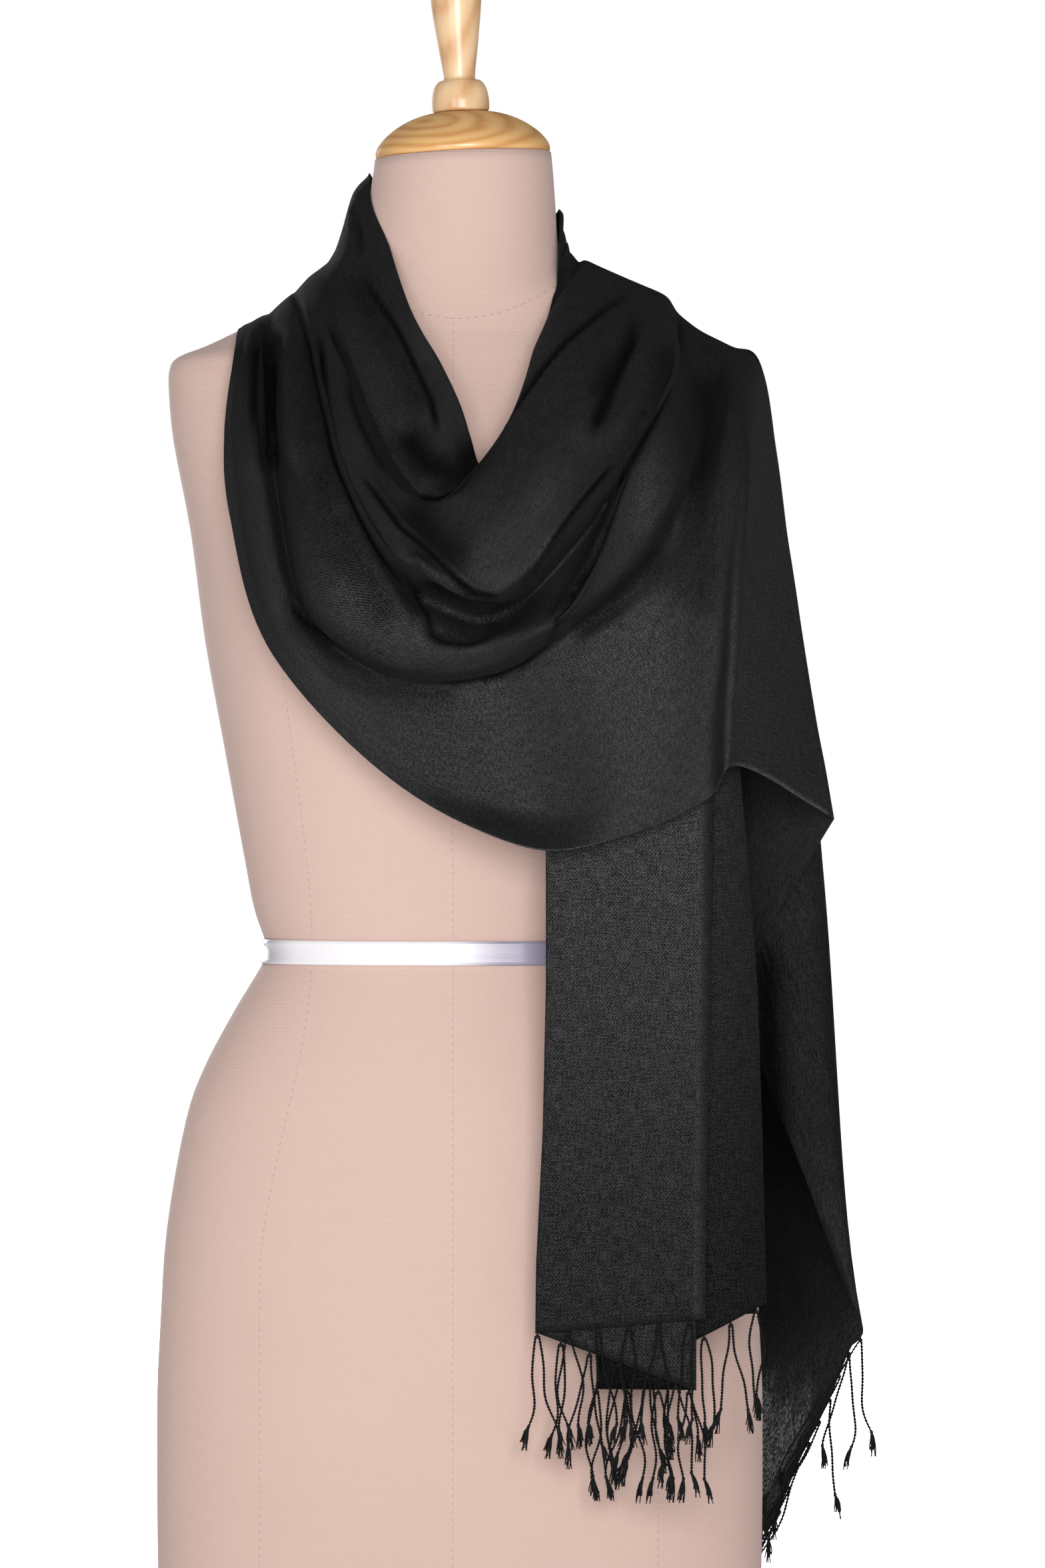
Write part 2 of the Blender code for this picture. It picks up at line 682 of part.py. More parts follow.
def fall_section(height):
    """The folded end seen from above at one height: where each layer turns."""
    row = table_at(FALL, height)
    places = row[:7]
    back = -row[7] * MM
    pitch = row[8] * MM
    corners = []
    for layer, across in enumerate(places[:-1]):
        depth = back - pitch * (len(places) - 2 - layer)
        if layer > 0:
            corners.append(Vector((across * MM, depth - pitch, 0.0)))
        corners.append(Vector((across * MM, depth, 0.0)))
    corners.append(Vector((places[-1] * MM, back, 0.0)))
    return corners


def fall_place(index):
    """The fold number that a corner of fall_section belongs to."""
    return (index + 1) // 2


def fall_grid():
    """Points of the folded end: a row for each step down, a column for each step round."""
    section = fall_section(FALL_TOP)
    columns = []
    for i in range(len(section) - 1):
        columns.append((i, 0.0))
        if i % 2 == 0:
            columns.extend((i, share) for share in FALL_SPLITS)
    columns.append((len(section) - 2, 1.0))
    grid = []
    for share_down in fractions(0.0, 1.0, FALL_LEVELS):
        line = []
        for index, share in columns:
            place = between(fall_place(index), fall_place(index + 1), share)
            hem = line_at(tuple(enumerate(FALL_HEM)), place)
            height = between(FALL_TOP, hem, share_down)
            corners = fall_section(height)
            point = between(corners[index], corners[index + 1], share)
            line.append(Vector((point.x, point.y, height)))
        grid.append(line)
    return grid


def build_front_fall(collection):
    grid = fall_grid()
    bm = bmesh.new()
    sheet(bm, grid)
    return add_wall(add_object("front_fall", bm, "silk", collection)), grid[-1]


def build_nape_wrap(net, tree, collection):
    """The stretch from the folded end over the left shoulder and round the nape."""
    over = crowded(0.0, 1.0, OVER_STEPS)
    grid = wound_grid(net, over + crowded(1.0, RIGHT_SHOULDER - NAPE_END, NAPE_STEPS)[1:])
    settle(grid, lambda p: True, lambda p: push_out(tree, p, NAPE_CLEARANCE))
    bm = bmesh.new()
    sheet(bm, grid)
    return add_wall(add_object("nape_wrap", bm, "silk", collection))


def build_cowl(net, form_tree, under, collection):
    """The stretch across the chest, laid on the form and on the folded end."""
    grid = wound_grid(net, crowded(RIGHT_SHOULDER, len(net[0]) - 1.0, COWL_STEPS))
    settle(grid, lambda p: True, lambda p: push_out(form_tree, p, COWL_CLEARANCE))
    settle(grid, lambda p: p.y < FALL_FRONT and p.x > FALL_SIDE,
           lambda p: lay_on(under, p, FORWARD, COWL_CLEARANCE_IN_FRONT))
    settle(grid, lambda p: p.x > SHOULDER_SIDE and p.z > SHOULDER_HEIGHT,
           lambda p: lay_round(under, p, COWL_CLEARANCE_ROUND))
    settle_once(grid, lambda p: p.y < 2.0 * FALL_FRONT and p.x > FALL_SIDE,
                lambda p: lay_on(under, p, FORWARD, COWL_CLEARANCE_ROUND))
    for line, row in zip(grid[::2], net):
        line[-1].y = row[-1].y
    for low, middle, high in zip(grid[::2], grid[1::2], grid[2::2]):
        middle[-1].y = (low[-1].y + high[-1].y) / 2.0
    bm = bmesh.new()
    sheet(bm, grid)
    return add_wall(add_object("cowl", bm, "silk", collection)), [line[-1] for line in grid]


def tail_places():
    """Where the cascade is sampled: close together round each turn, and once between turns."""
    places = [0.0, 0.4]
    last = len(TAIL_COLUMNS) - 2
    for i in range(1, last):
        places.extend((i - 0.2, i - 0.07, i + 0.07, i + 0.2))
        places.extend((i + 0.35, i + 0.65) if i == HEM_CORNER else (i + 0.5,))
    places[-1] = last - 0.4
    places.append(float(last))
    return places


def tail_bottom(place):
    if place <= TAIL_HEM[0][0]:
        return line_at(TAIL_SELVEDGE, place)
    return line_at(TAIL_HEM, place)


def tail_top(place, shoulder_line):
    """The point of the shoulder that a place of the cascade starts from."""
    last = len(TAIL_COLUMNS) - 2
    across = TAIL_CORNER_ROW * 2 * (1.0 - place / last)
    return spline(shoulder_line, across) + Vector((0.0, TAIL_SET_BACK, 0.0))


def outer_edge(shoulder_line, height):
    """Where the cowl's outer fold runs at a height, with the cascade's place just behind it."""
    line = shoulder_line[TAIL_CORNER_ROW * 2:]
    for high, low in zip(line, line[1:]):
        if height >= low.z:
            share = min(max((high.z - height) / (high.z - low.z), 0.0), 1.0)
            found = between(high, low, share)
            return Vector((found.x, found.y + TAIL_SET_BACK, 0.0))
    return Vector((line[-1].x, line[-1].y + TAIL_SET_BACK, 0.0))


def tail_folded(place, height):
    """Where a place of the cascade hangs at a height, seen from above."""
    row = table_at(TAIL, height)
    return turned([Vector((p[0] * MM, p[1] * MM, 0.0)) for p in row], place, TURN_SHARE)


def tail_point(place, share, shoulder_line):
    """A point of the cascade: share runs down its place from the shoulder to the cut edge."""
    top = tail_top(place, shoulder_line)
    height = between(top.z, tail_bottom(place), share ** TAIL_CROWDING)
    drop = top.z - height
    folded = tail_folded(place, height)
    start = tail_folded(place, top.z)
    if place < 1.0:
        edge = outer_edge(shoulder_line, height)
        folded += (edge - tail_folded(0.0, height)) * (1.0 - place)
    aside = 1.0 - ease(drop / line_at(TAIL_FALL, place))
    over = 1.0 - math.sqrt(max(0.0, 1.0 - (1.0 - min(drop / TAIL_OVER, 1.0)) ** 2))
    return Vector((folded.x + (top.x - start.x) * aside, folded.y + (top.y - start.y) * over, height))


def build_back_tail(shoulder_line, tree, collection):
    """The end that goes over the left shoulder and falls in a cascade."""
    grid = [[tail_point(place, share, shoulder_line) for place in tail_places()]
            for share in fractions(0.0, 1.0, TAIL_LEVELS)]
    settle(grid, lambda p: p.y > BACK_DEPTH and p.x < BACK_SIDE,
           lambda p: lay_on(tree, p, BACKWARD, TAIL_CLEARANCE_BEHIND))
    settle(grid, lambda p: p.z > SHOULDER_HEIGHT,
           lambda p: lay_round(tree, p, TAIL_CLEARANCE_ROUND))
    for point, place in zip(grid[0], tail_places()):
        point.y = tail_top(place, shoulder_line).y
    bm = bmesh.new()
    sheet(bm, grid)
    tail = add_wall(add_object("back_tail", bm, "silk", collection))
    hem = [p for p, place in zip(grid[-1], tail_places()) if place >= TAIL_HEM[0][0]]
    return tail, hem


def side_of(a, b):
    """The level direction to the left of the way from one point to another."""
    return Vector((a.y - b.y, b.x - a.x, 0.0)).normalized()


def along_line(line, distance):
    """A point of a broken line at a distance along it, and its mitred side direction."""
    last = len(line) - 2
    for index, (a, b) in enumerate(zip(line, line[1:])):
        length = (b - a).length
        if distance > length + 1e-7 and index < last:
            distance -= length
            continue
        side = side_of(a, b)
        other = side
        if abs(distance) < 1e-6 and index > 0:
            other = side_of(line[index - 1], a)
        elif abs(distance - length) < 1e-6 and index < last:
            other = side_of(b, line[index + 2])
        bisector = (side + other).normalized()
        return between(a, b, distance / length), bisector / max(bisector.dot(side), 0.5)


def fringe_stops(line):
    """Where a fringe's strip is cut into lengths, as (distance, is the root of a strand)."""
    marks = [0.0]
    for a, b in zip(line, line[1:]):
        marks.append(marks[-1] + (b - a).length)
    total = marks[-1]
    roots = []
    knot = KNOT_SPACING / 2.0
    while knot < total - ROOT_WIDTH:
        near = min(marks, key=lambda mark: abs(mark - knot))
        at = knot
        if abs(near - knot) < 1.2 * ROOT_WIDTH:
            at = near + math.copysign(1.3 * ROOT_WIDTH, knot - near)
        if not roots or at - roots[-1] > 3.0 * ROOT_WIDTH:
            roots.append(at)
        knot += KNOT_SPACING
    stops = []
    for at in roots:
        stops.extend(((at - ROOT_WIDTH, True), (at, True), (at + ROOT_WIDTH, False)))
    free = [mark for mark in marks
            if all(abs(mark - at) > 1.1 * ROOT_WIDTH for at in roots)]
    stops.extend((mark, False) for mark in free)
    return sorted(stops)


def build_fringe(name, line, collection):
    """Pairs of twisted strands that hang from a narrow strip along a fringed end."""
    bm = bmesh.new()
    drop = Vector((0.0, 0.0, -STRIP_DROP))
    height = Vector((0.0, 0.0, -STRIP_HEIGHT))
    stops = fringe_stops(line)
    rings = []
    for distance, _ in stops:
        point, side = along_line(line, distance)
        aside = side * (WALL / 2.0)
        top = point + drop
        rings.append([bm.verts.new(p) for p in
                      (top + aside, top - aside, top - aside + height, top + aside + height)])
    bm.faces.new(rings[0][::-1])
    bm.faces.new(rings[-1])
    roots = []
    for (a, b), (_, root) in zip(zip(rings, rings[1:]), stops):
        for i in range(4):
            j = (i + 1) % 4
            face = bm.faces.new((a[i], a[j], b[j], b[i]))
            if i == 2 and root:
                roots.append(face)
    for number, face in enumerate(roots):
        hang_strand(bm, face, number)
    bmesh.ops.recalc_face_normals(bm, faces=bm.faces)
    return add_object(name, bm, "silk", collection)


def hang_strand(bm, face, number):
    """One strand, drawn down from a bottom face of the strip, with its tuft at the end."""
    way = face.verts[0].co - face.verts[3].co
    flat = Vector((way.x, way.y, 0.0)).normalized()
    normal = Vector((-flat.y, flat.x, 0.0))
    middle = face.calc_center_median()
    splay = (-1.0 if number % 2 else 1.0) * STRAND_SPLAY * (0.6 + 0.4 * math.sin(1.7 * number))
    length = STRAND_LENGTH * (0.93 + 0.07 * math.sin(2.3 * number))
    steps = ((TUFT_START * length, splay, STRAND_WIDTH), (length, splay * 1.5, TUFT_WIDTH))
    for down, across, width in steps:
        face = bmesh.ops.extrude_discrete_faces(bm, faces=[face])["faces"][0]
        old = face.calc_center_median()
        centre = middle + flat * across + Vector((0.0, 0.0, -down))
        for vert in face.verts:
            side = math.copysign(width / 2.0, (vert.co - old).dot(flat))
            depth = math.copysign(STRAND_WIDTH / 2.0, (vert.co - old).dot(normal))
            vert.co = centre + flat * side + normal * depth


def main():
    clear_scene()
    collection = bpy.data.collections.new("silk_shawl_on_dress_form")
    bpy.context.scene.collection.children.link(collection)
    torso = build_torso(collection)
    build_waist_tape(collection)
    build_turned("neck_cap", CAP_PROFILE, CAP_FOOT, 28, collection)
    build_turned("finial", FINIAL_PROFILE, CAP_FOOT, 20, collection)
    build_base_board(collection)
    form_tree = tree_of(torso)
    fall, fall_hem = build_front_fall(collection)
    net = wound_net(form_tree, tree_of(torso, fall))
    nape = build_nape_wrap(net, form_tree, collection)
    under = tree_of(torso, fall, nape)
    cowl, shoulder_line = build_cowl(net, form_tree, under, collection)
    tail, tail_hem = build_back_tail(shoulder_line, tree_of(torso, nape), collection)
    build_fringe("front_fringe", fall_hem, collection)
    build_fringe("tail_fringe", tail_hem, collection)


main()
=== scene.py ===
"""The looks of a black silk shawl on a limbless dress form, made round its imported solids.

Metres, +Z up. The front of the form faces -Y and its left side is at +X, so +X is on the right of
someone who looks at its front. Pixels are those of the 1568 x 2352 photograph. The whole cut of
the shawl is 0.71 m x 2.03 m.
"""

import math

import bmesh
import bpy
from mathutils import Euler, Matrix, Vector, noise
from mathutils.bvhtree import BVHTree


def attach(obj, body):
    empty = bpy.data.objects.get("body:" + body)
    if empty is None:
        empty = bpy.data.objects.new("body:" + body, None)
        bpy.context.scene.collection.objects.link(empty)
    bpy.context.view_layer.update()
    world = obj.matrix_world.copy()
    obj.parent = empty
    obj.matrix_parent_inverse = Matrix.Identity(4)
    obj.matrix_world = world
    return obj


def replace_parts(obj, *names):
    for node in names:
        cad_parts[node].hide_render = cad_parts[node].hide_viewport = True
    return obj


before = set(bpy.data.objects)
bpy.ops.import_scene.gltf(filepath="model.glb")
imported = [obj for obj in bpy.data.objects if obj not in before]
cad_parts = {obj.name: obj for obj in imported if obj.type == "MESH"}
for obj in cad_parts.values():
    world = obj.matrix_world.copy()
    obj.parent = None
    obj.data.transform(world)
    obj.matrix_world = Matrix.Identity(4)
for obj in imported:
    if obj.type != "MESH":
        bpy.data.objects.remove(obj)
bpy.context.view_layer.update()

MM = 0.001
FORWARD = Vector((0.0, 1.0, 0.0))
BACKWARD = Vector((0.0, -1.0, 0.0))
MIDDLE = (0.0, 0.0, 0.0)

# The photograph's view: metres a pixel at the form's middle, and where the camera stands
PIXEL = 0.00042
VIEW_WIDTH = 1568
VIEW_HEIGHT = 2352
CAMERA_AWAY = 5.0
CAMERA_ACROSS = 0.0395
CAMERA_HEIGHT = 0.594
SENSOR = 36.0

# The silk's thickness and full width, and how far it stays off the form and off other cloth
SILK_THICKNESS = 0.0005
SHAWL_WIDTH = 0.71
FORM_CLEARANCE = 0.0009
CLOTH_CLEARANCE = 0.0013
SHOULDER_CLEARANCE = 0.0020

# How finely each stretch of cloth is drawn
ROWS_A_FOLD = 12
ARM_EDGE_ROWS = 60
OVER_STEPS = 6
NAPE_STEPS = 44
COWL_STEPS = 124
FALL_LEVELS = 110
FALL_LAYER_STEPS = 12
FALL_TURN_STEPS = 5
# How many times each stretch is eased and laid on what is under it
NAPE_ROUNDS = 2
COWL_ROUNDS = 3
TAIL_ROUNDS = 4

# Where the cowl lies on the folded end, where cloth turns over the shoulder, and where the cascade
# lies on the back: the sides, heights and depths that bound each
FALL_SIDE = 0.02
FALL_FRONT = -0.03
SHOULDER_SIDE = 0.05
SHOULDER_HEIGHT = 0.70
BACK_DEPTH = 0.04
BACK_SIDE = 0.16
# The place inside the form that cloth on the shoulder is laid towards
BONE_SHARE = 0.8
BONE_REACH = 0.11
BONE_HEIGHT = 0.80
# How cloth hangs in front: how far aside and up it looks for what it hangs over
HANG_SPREAD = 0.012
HANG_STEPS = 16
HANG_STEP = 0.02
HANG_SLOPE = 0.0012
HANG_BACKSTOP = -0.05

# Half the width of the floor
FLOOR_SIZE = 60.0

# The form and its wood
CAP_TILT = math.radians(2.6)
CAP_FOOT = Vector((0.002, 0.0, 0.9897))
CAP_SIDES = 96
FINIAL_SIDES = 64
FORM_STEPS = 4
FORM_SIDES = 144
TAPE_STEPS = 8
TAPE_STAND = 0.0012
TAPE_THICKNESS = 0.0007
BOARD_THICKNESS = 0.018
BOARD_INSET = 0.006
BOARD_EDGE = 0.0018
BOARD_SIDES = 96

# Knots of the fringe: how far apart they are, their size, and how far they hang under the hem
KNOT_SPACING = 0.0187
KNOT_RADIUS = 0.00125
KNOT_STRETCH = 1.4
KNOT_DROP = 0.0016
# Strands: their length and how much it varies, where they start beside and under the hem, how far
# they spread, and the two plies that each is twisted of
STRAND_LENGTH = 0.060
STRAND_UNEVEN = 0.13
STRAND_BESIDE = 0.0010
STRAND_UNDER = 0.0015
STRAND_SPLAY = 0.0075
PLY_RADIUS = 0.00050
PLY_OFFSET = 0.00046
TWIST_PITCH = 0.0042
TWIST_STEPS = 5
# Tufts at their ends: the loose threads in each, and how they taper, spread, swing and curl
HAIRS = 11
HAIR_RADIUS = 0.00075
HAIR_STEPS = 4
HAIR_TAPER = 0.82
TUFT_LENGTH = 0.0155
TUFT_SPREAD = 0.0024
TUFT_SWING = 0.0035
TUFT_CURL = 0.0006
# An angle that never lines up with itself again
GOLDEN_ANGLE = 2.399
# How a strand strays aside and forward, as (size, turn for each strand, turn over its length, start)
STRAY_ASIDE = ((0.55, 2.7, 0.0, 0.0), (0.6, 1.3, 3.6, 0.0), (0.16, 4.1, 9.0, 0.0))
STRAY_FORWARD = ((0.25, 1.9, 0.0, 0.8), (0.2, 0.9, 3.3, math.pi / 2.0))
# How far the first strands of the cascade swing in behind it, as shares of their length, and how
# far they stand off its inner side there
TAIL_DRIFTS = (0.00, 0.56, 0.02, 0.10, 0.52, 0.60, 0.02, 0.54, 0.58, 0.50,
               0.56, 0.62, 0.54, 0.50, 0.60, 0.54, 0.56, 0.48, 0.58, 0.54)
STRAND_BEHIND = 0.0028

# How sharply the cloth bends along each row of FOLDS, from 0, round, to 1, a crease
FOLD_SHARPNESS = (0.0, 0.2, 0.9, 0.3, 0.0, 0.0, 0.7, 0.9, 0.0, 0.3, 0.9, 0.2, 0.0, 0.0, 0.0, 0.0)
# How much further some rows stand out, in millimetres, by the number of their front point
SWELL_EXTRA = {
    "crease": {1: -4.0, 2: -6.0, 3: -7.0, 4: -4.0},
    "panel_top": {1: 4.0, 2: 8.0, 3: 9.0, 4: 6.0, 5: 2.0},
    "panel_upper": {1: 5.0, 2: 10.0, 3: 11.0, 4: 7.0, 5: 3.0},
    "panel_middle": {1: 4.0, 2: 7.0, 3: 8.0, 4: 5.0, 5: 2.0},
    "neck_edge": {1: 8.0, 2: 9.0, 3: 7.0, 4: 4.0, 5: 1.0},
    "lower_selvedge": {3: 3.0, 4: 6.5, 5: 9.0, 6: 8.5, 7: 5.5, 8: 2.0},
    "panel_lower": {3: 1.0, 4: 2.5, 5: 4.5, 6: 4.5, 7: 2.0},
}
# Size of the small pleats at places along the cloth, in millimetres
PLEAT_SIZE = ((0.0, 0.0), (1.0, 0.9), (2.0, 1.3), (5.4, 1.3), (6.6, 0.0))
# The waves that they are made of, as (size, turn for each fold, turn for each place along, start),
# and how far they rise in all
PLEAT_WAVES = ((1.0, 5.1, 0.5, 0.0), (0.6, 8.3, -0.7, 1.0))
PLEAT_RISE = 0.6

# Creases of the cowl, each as (kind, height in millimetres, width in pixels, pixels it runs through).
# A step's high side lies to the right of the way that it runs, as seen in the photograph. A shade
# row paints shade into the cloth and dulls it, by its height; hollow bumps and the low foot of a
# step get painted shade as well.
CREASES = (
    ("step", 3.0, 9.0, ((489, 476), (494, 501), (522, 567), (541, 613), (564, 660), (597, 730),
     (625, 749), (655, 754), (690, 738), (718, 697))),
    ("step", 3.2, 9.0, ((475, 490), (478, 528), (490, 623), (500, 677), (521, 732), (549, 782),
     (576, 825), (603, 866), (636, 923), (658, 956))),
    ("step", 3.2, 6.0, ((776, 882), (751, 893), (713, 885), (691, 869), (669, 847), (636, 814),
     (603, 787), (571, 743), (538, 700))),
    ("bump", 4.4, 6.0, ((600, 850), (622, 836), (652, 859), (680, 879), (713, 896), (751, 901),
     (785, 884))),
    ("bump", -9.0, 13.0, ((612, 868), (650, 892), (700, 912), (755, 915), (795, 893))),
    ("bump", -8.5, 13.0, ((634, 925), (662, 953), (700, 957), (745, 938))),
    ("step", 3.6, 9.0, ((1014, 455), (1017, 480), (1014, 518), (1004, 563), (989, 599), (974, 629),
     (953, 665), (934, 700), (928, 731), (913, 781), (903, 812), (887, 842), (862, 883), (842, 920),
     (817, 966), (780, 995), (745, 1010), (680, 1019), (630, 1014))),
    ("step", 2.4, 16.0, ((640, 1016), (614, 1011), (549, 989), (494, 956), (456, 923), (423, 891))),
    ("bump", -1.4, 12.0, ((455, 980), (494, 1005), (538, 1027), (600, 1036))),
    ("bump", 6.0, 40.0, ((430, 476), (412, 500), (400, 540), (400, 600), (405, 650), (420, 720))),
    ("bump", -13.0, 19.0, ((424, 478), (408, 500), (400, 540), (399, 600), (402, 650), (414, 720))),
    ("step", 2.5, 9.0, ((390, 490), (384, 505), (378, 545), (376, 610), (379, 660))),
    ("bump", -1.8, 15.0, ((408, 660), (434, 715), (456, 765), (483, 818), (525, 862))),
    ("bump", 3.0, 16.0, ((447, 480), (444, 510), (456, 600), (474, 690), (510, 790))),
    ("bump", -3.0, 6.0, ((526, 300), (535, 333), (539, 362), (536, 400))),
    ("step", 2.2, 14.0, ((664, 660), (650, 600), (625, 546), (598, 491), (565, 442), (540, 400))),
    ("bump", -2.2, 5.0, ((596, 618), (609, 645), (638, 686))),
    ("bump", -5.0, 9.0, ((518, 560), (548, 636), (578, 692), (602, 726))),
    ("bump", -4.0, 16.0, ((622, 716), (660, 727), (706, 700))),
    ("step", 2.6, 8.0, ((740, 662), (771, 622), (791, 594), (817, 558), (842, 528), (862, 508),
     (888, 487), (918, 462), (955, 441))),
    ("bump", -2.5, 5.0, ((850, 370), (847, 401), (839, 432), (830, 464))),
    ("bump", 3.5, 40.0, ((940, 470), (925, 543), (905, 584), (890, 624), (865, 680))),
    ("bump", -9.0, 9.0, ((955, 462), (950, 505), (933, 543), (915, 584), (900, 624), (882, 658))),
    ("bump", 3.0, 14.0, ((968, 440), (990, 470), (989, 503), (979, 538), (958, 584), (933, 629),
     (903, 670))),
    ("step", 3.4, 8.0, ((930, 675), (908, 705), (882, 736), (862, 761), (837, 796), (817, 827),
     (796, 857), (770, 884))),
    ("bump", 2.0, 8.0, ((925, 705), (893, 745), (867, 790), (842, 836))),
    ("bump", -3.0, 10.0, ((917, 725), (903, 768), (893, 800))),
    ("bump", -3.4, 16.0, ((1006, 798), (984, 837), (953, 872), (918, 908), (882, 935), (842, 960))),
    ("bump", 1.5, 13.0, ((1030, 850), (965, 905), (900, 952), (850, 985))),
    ("bump", 1.8, 10.0, ((1138, 556), (1131, 629), (1126, 705), (1111, 807), (1105, 908),
     (1097, 1060))),
    ("bump", -1.4, 6.0, ((1020, 478), (1046, 503), (1078, 538))),
    # Rows of painted shade: darker hollows, pockets and bands where shadow falls
    ("shade", 1.0, 27.0, ((398, 500), (400, 560), (404, 680))),
    ("shade", 0.90, 26.0, ((590, 630), (640, 696), (688, 710), (716, 668), (724, 640))),
    ("shade", 0.45, 26.0, ((520, 400), (560, 470), (620, 580), (640, 640))),
    ("shade", 0.75, 32.0, ((600, 740), (650, 815), (720, 850))),
    ("shade", 0.50, 24.0, ((640, 930), (700, 950), (770, 935), (830, 880))),
    ("shade", 0.50, 22.0, ((560, 790), (600, 880), (640, 950))),
    ("shade", 0.50, 30.0, ((452, 500), (470, 640), (500, 760), (540, 850), (600, 950))),
    ("shade", 0.50, 18.0, ((1010, 500), (990, 590), (930, 700), (900, 800), (850, 890))),
    ("shade", 0.40, 30.0, ((420, 900), (500, 975), (600, 1030), (700, 1035))),
    ("shade", 0.75, 24.0, ((1150, 1400), (1150, 1520), (1165, 1740))),
    ("shade", 0.20, 12.0, ((1150, 1660), (1175, 1800), (1235, 1960))),
    ("shade", 0.35, 14.0, ((1250, 1330), (1262, 1600), (1290, 1950))),
    ("shade", 0.35, 40.0, ((1062, 540), (1062, 700), (1045, 940))),
    ("shade", 0.55, 16.0, ((925, 520), (905, 570), (880, 620))),
    ("shade", 0.70, 12.0, ((905, 800), (885, 845), (845, 905), (815, 950))),
)
# Over how many pixels a crease fades in at its ends, how wide the edge of a step is, and how many
# of its widths a crease reaches to each side
CREASE_FADE = 45.0
CREASE_EDGE = 3.2
CREASE_REACH = 3.5
# Shallow wrinkles all over the wound cloth: their height and how many there are in a metre
WRINKLE = 0.0007
WRINKLE_PITCH = 26.0
# How often the cloth is eased across its folds on top of the shoulders, above what height, and over
# how much of it that sets in
CREST_ROUNDS = 14
CREST_HEIGHT = 0.86
CREST_FADE = 0.02
# The folded end's slow waves, and how far its outer part turns back towards its right fold
FALL_WAVE = 0.0016
FALL_TURN_BACK = 0.0120
FALL_TURN_FROM = 0.151
FALL_TURN_TO = 0.186
# How much painted shade the folded end has at each height, and how much more each layer has
FALL_SHADE = ((0.2, 0.42), (0.33, 0.30), (0.46, 0.10), (0.56, 0.0))
FALL_LAYER_SHADE = (0.0, -0.1, 0.4, 0.22, 0.2, 0.2)
# How much its selvedge and the cowl's lower selvedge shine
EDGE_SHINE = 0.7
# How much painted shade the cascade has at each height, and where the painted shade of CREASES
# falls on it: from how far aside and up to how far back
TAIL_SHADE = ((0.30, 0.0), (0.35, 0.28), (0.48, 0.25), (0.60, 0.0))
TAIL_PAINTED_SHADE_FROM = 0.150
TAIL_PAINTED_SHADE_TO = 0.080
# Below this height the cascade is a single layer that lets some light through, and over how much
# of it that sets in
SHEER_TOP = 0.212
SHEER_FADE = 0.02

# How deep each material's relief is, as (strength, height)
TWILL_BUMP = (0.7, 0.0007)
JERSEY_BUMP = (0.35, 0.0002)
SATIN_BUMP = (0.15, 0.0002)
PORE_BUMP = (0.08, 0.0003)

# Silk: the twill's pitch and slant, its darkest and lightest threads, its flecks, and the colour of
# the painted shade in its creases
TWILL_PITCH = 0.0023
TWILL_SLANT = 0.9
SILK_COLOURS = ((0.0010, 0.0010, 0.0013), (0.0170, 0.0170, 0.0180))
FLECK_COLOUR = (0.06, 0.06, 0.062)
FLECK_SIZE = 0.012
PAINTED_SHADE_COLOUR = (0.0008, 0.0008, 0.0009)
# How far painted shade takes the cloth to that colour, blackens its sheen by making it metallic,
# and makes it duller
PAINTED_SHADE_DARK = 0.8
PAINTED_SHADE_METALLIC = 0.75
CREASE_DULL = 0.35
# How rough the darkest and the lightest threads are, and how much rougher cloth is that turns away
# from the eye, as (from, to, how much)
SILK_ROUGH = (0.80, 0.44)
GRAZE_ROUGH = (0.6, 0.95, 0.5)
# How open the thin cloth is, and how much more where its threads are uneven
SHEER_GAPS = 0.05
SHEER_UNEVEN = 0.20
# The fringe's threads, darkest and lightest
THREAD_COLOURS = ((0.003, 0.003, 0.0033), (0.009, 0.009, 0.0096))
# What the weave's uneven threads are made of: noises stretched along and across, and their shares
TWILL_SHARE = 0.05
THREAD_NOISES = (
    (110.0, 1100.0, 0.22),
    (1100.0, 110.0, 0.22),
    (1050.0, 1050.0, 0.50),
    (90.0, 90.0, 0.06),
)
# Between what values of that mix the threads turn from darkest to lightest
THREAD_RANGE = (0.44, 0.56)

# Jersey: its colours, the pitch of its ribs and of its stitches across, and that of its seams
JERSEY_COLOURS = ((0.560, 0.392, 0.340), (0.640, 0.458, 0.402))
STITCH_COLOUR = (0.36, 0.23, 0.19)
RIB_PITCH = 0.0021
JERSEY_PITCH = 0.0016
STITCH_PITCH = 0.0048
# Seams: level of the neck's and how fast it rises aside, half width of a row of stitches, how far
# aside the middle one lies, and how far aside the curved ones lie at the waist
NECK_SEAM = 0.8835
NECK_SEAM_RISE = 6.0
SEAM_WIDTH = 0.00035
MIDDLE_SEAM = -0.0035
SIDE_SEAM = 0.0915
# How far the curved ones move out from the waist down and up, as (from height, to height, out)
SEAM_FLARES = ((0.489, 0.28, 0.032), (0.489, 0.72, 0.020))

# Satin: its colours in the painted highlight and in the painted shade towards the sides, where the
# highlight lies, between what distances from there it changes, and how many threads lie across it
SATIN_HIGHLIGHT_AND_SHADE_COLOURS = ((0.84, 0.82, 0.85), (0.34, 0.31, 0.41))
SATIN_HIGHLIGHT_MIDDLE = -0.054
SATIN_EDGE = (0.045, 0.085)
SATIN_THREADS = 26.0

PINE_COLOURS = ((0.58, 0.28, 0.085), (0.73, 0.40, 0.145), (0.79, 0.48, 0.20))
LIGHT_PINE_COLOURS = ((0.61, 0.33, 0.15), (0.75, 0.48, 0.26), (0.81, 0.57, 0.34))
BOARD_COLOURS = ((0.34, 0.22, 0.12), (0.52, 0.37, 0.22), (0.62, 0.46, 0.30))
# Where the growth rings of the cap's wood are centred
PINE_HEART = (-0.022, 0.0, 1.009)
# How far a face has turned away from the eye where the varnish starts and stops losing its gloss
WOOD_EDGE = (0.45, 0.85)

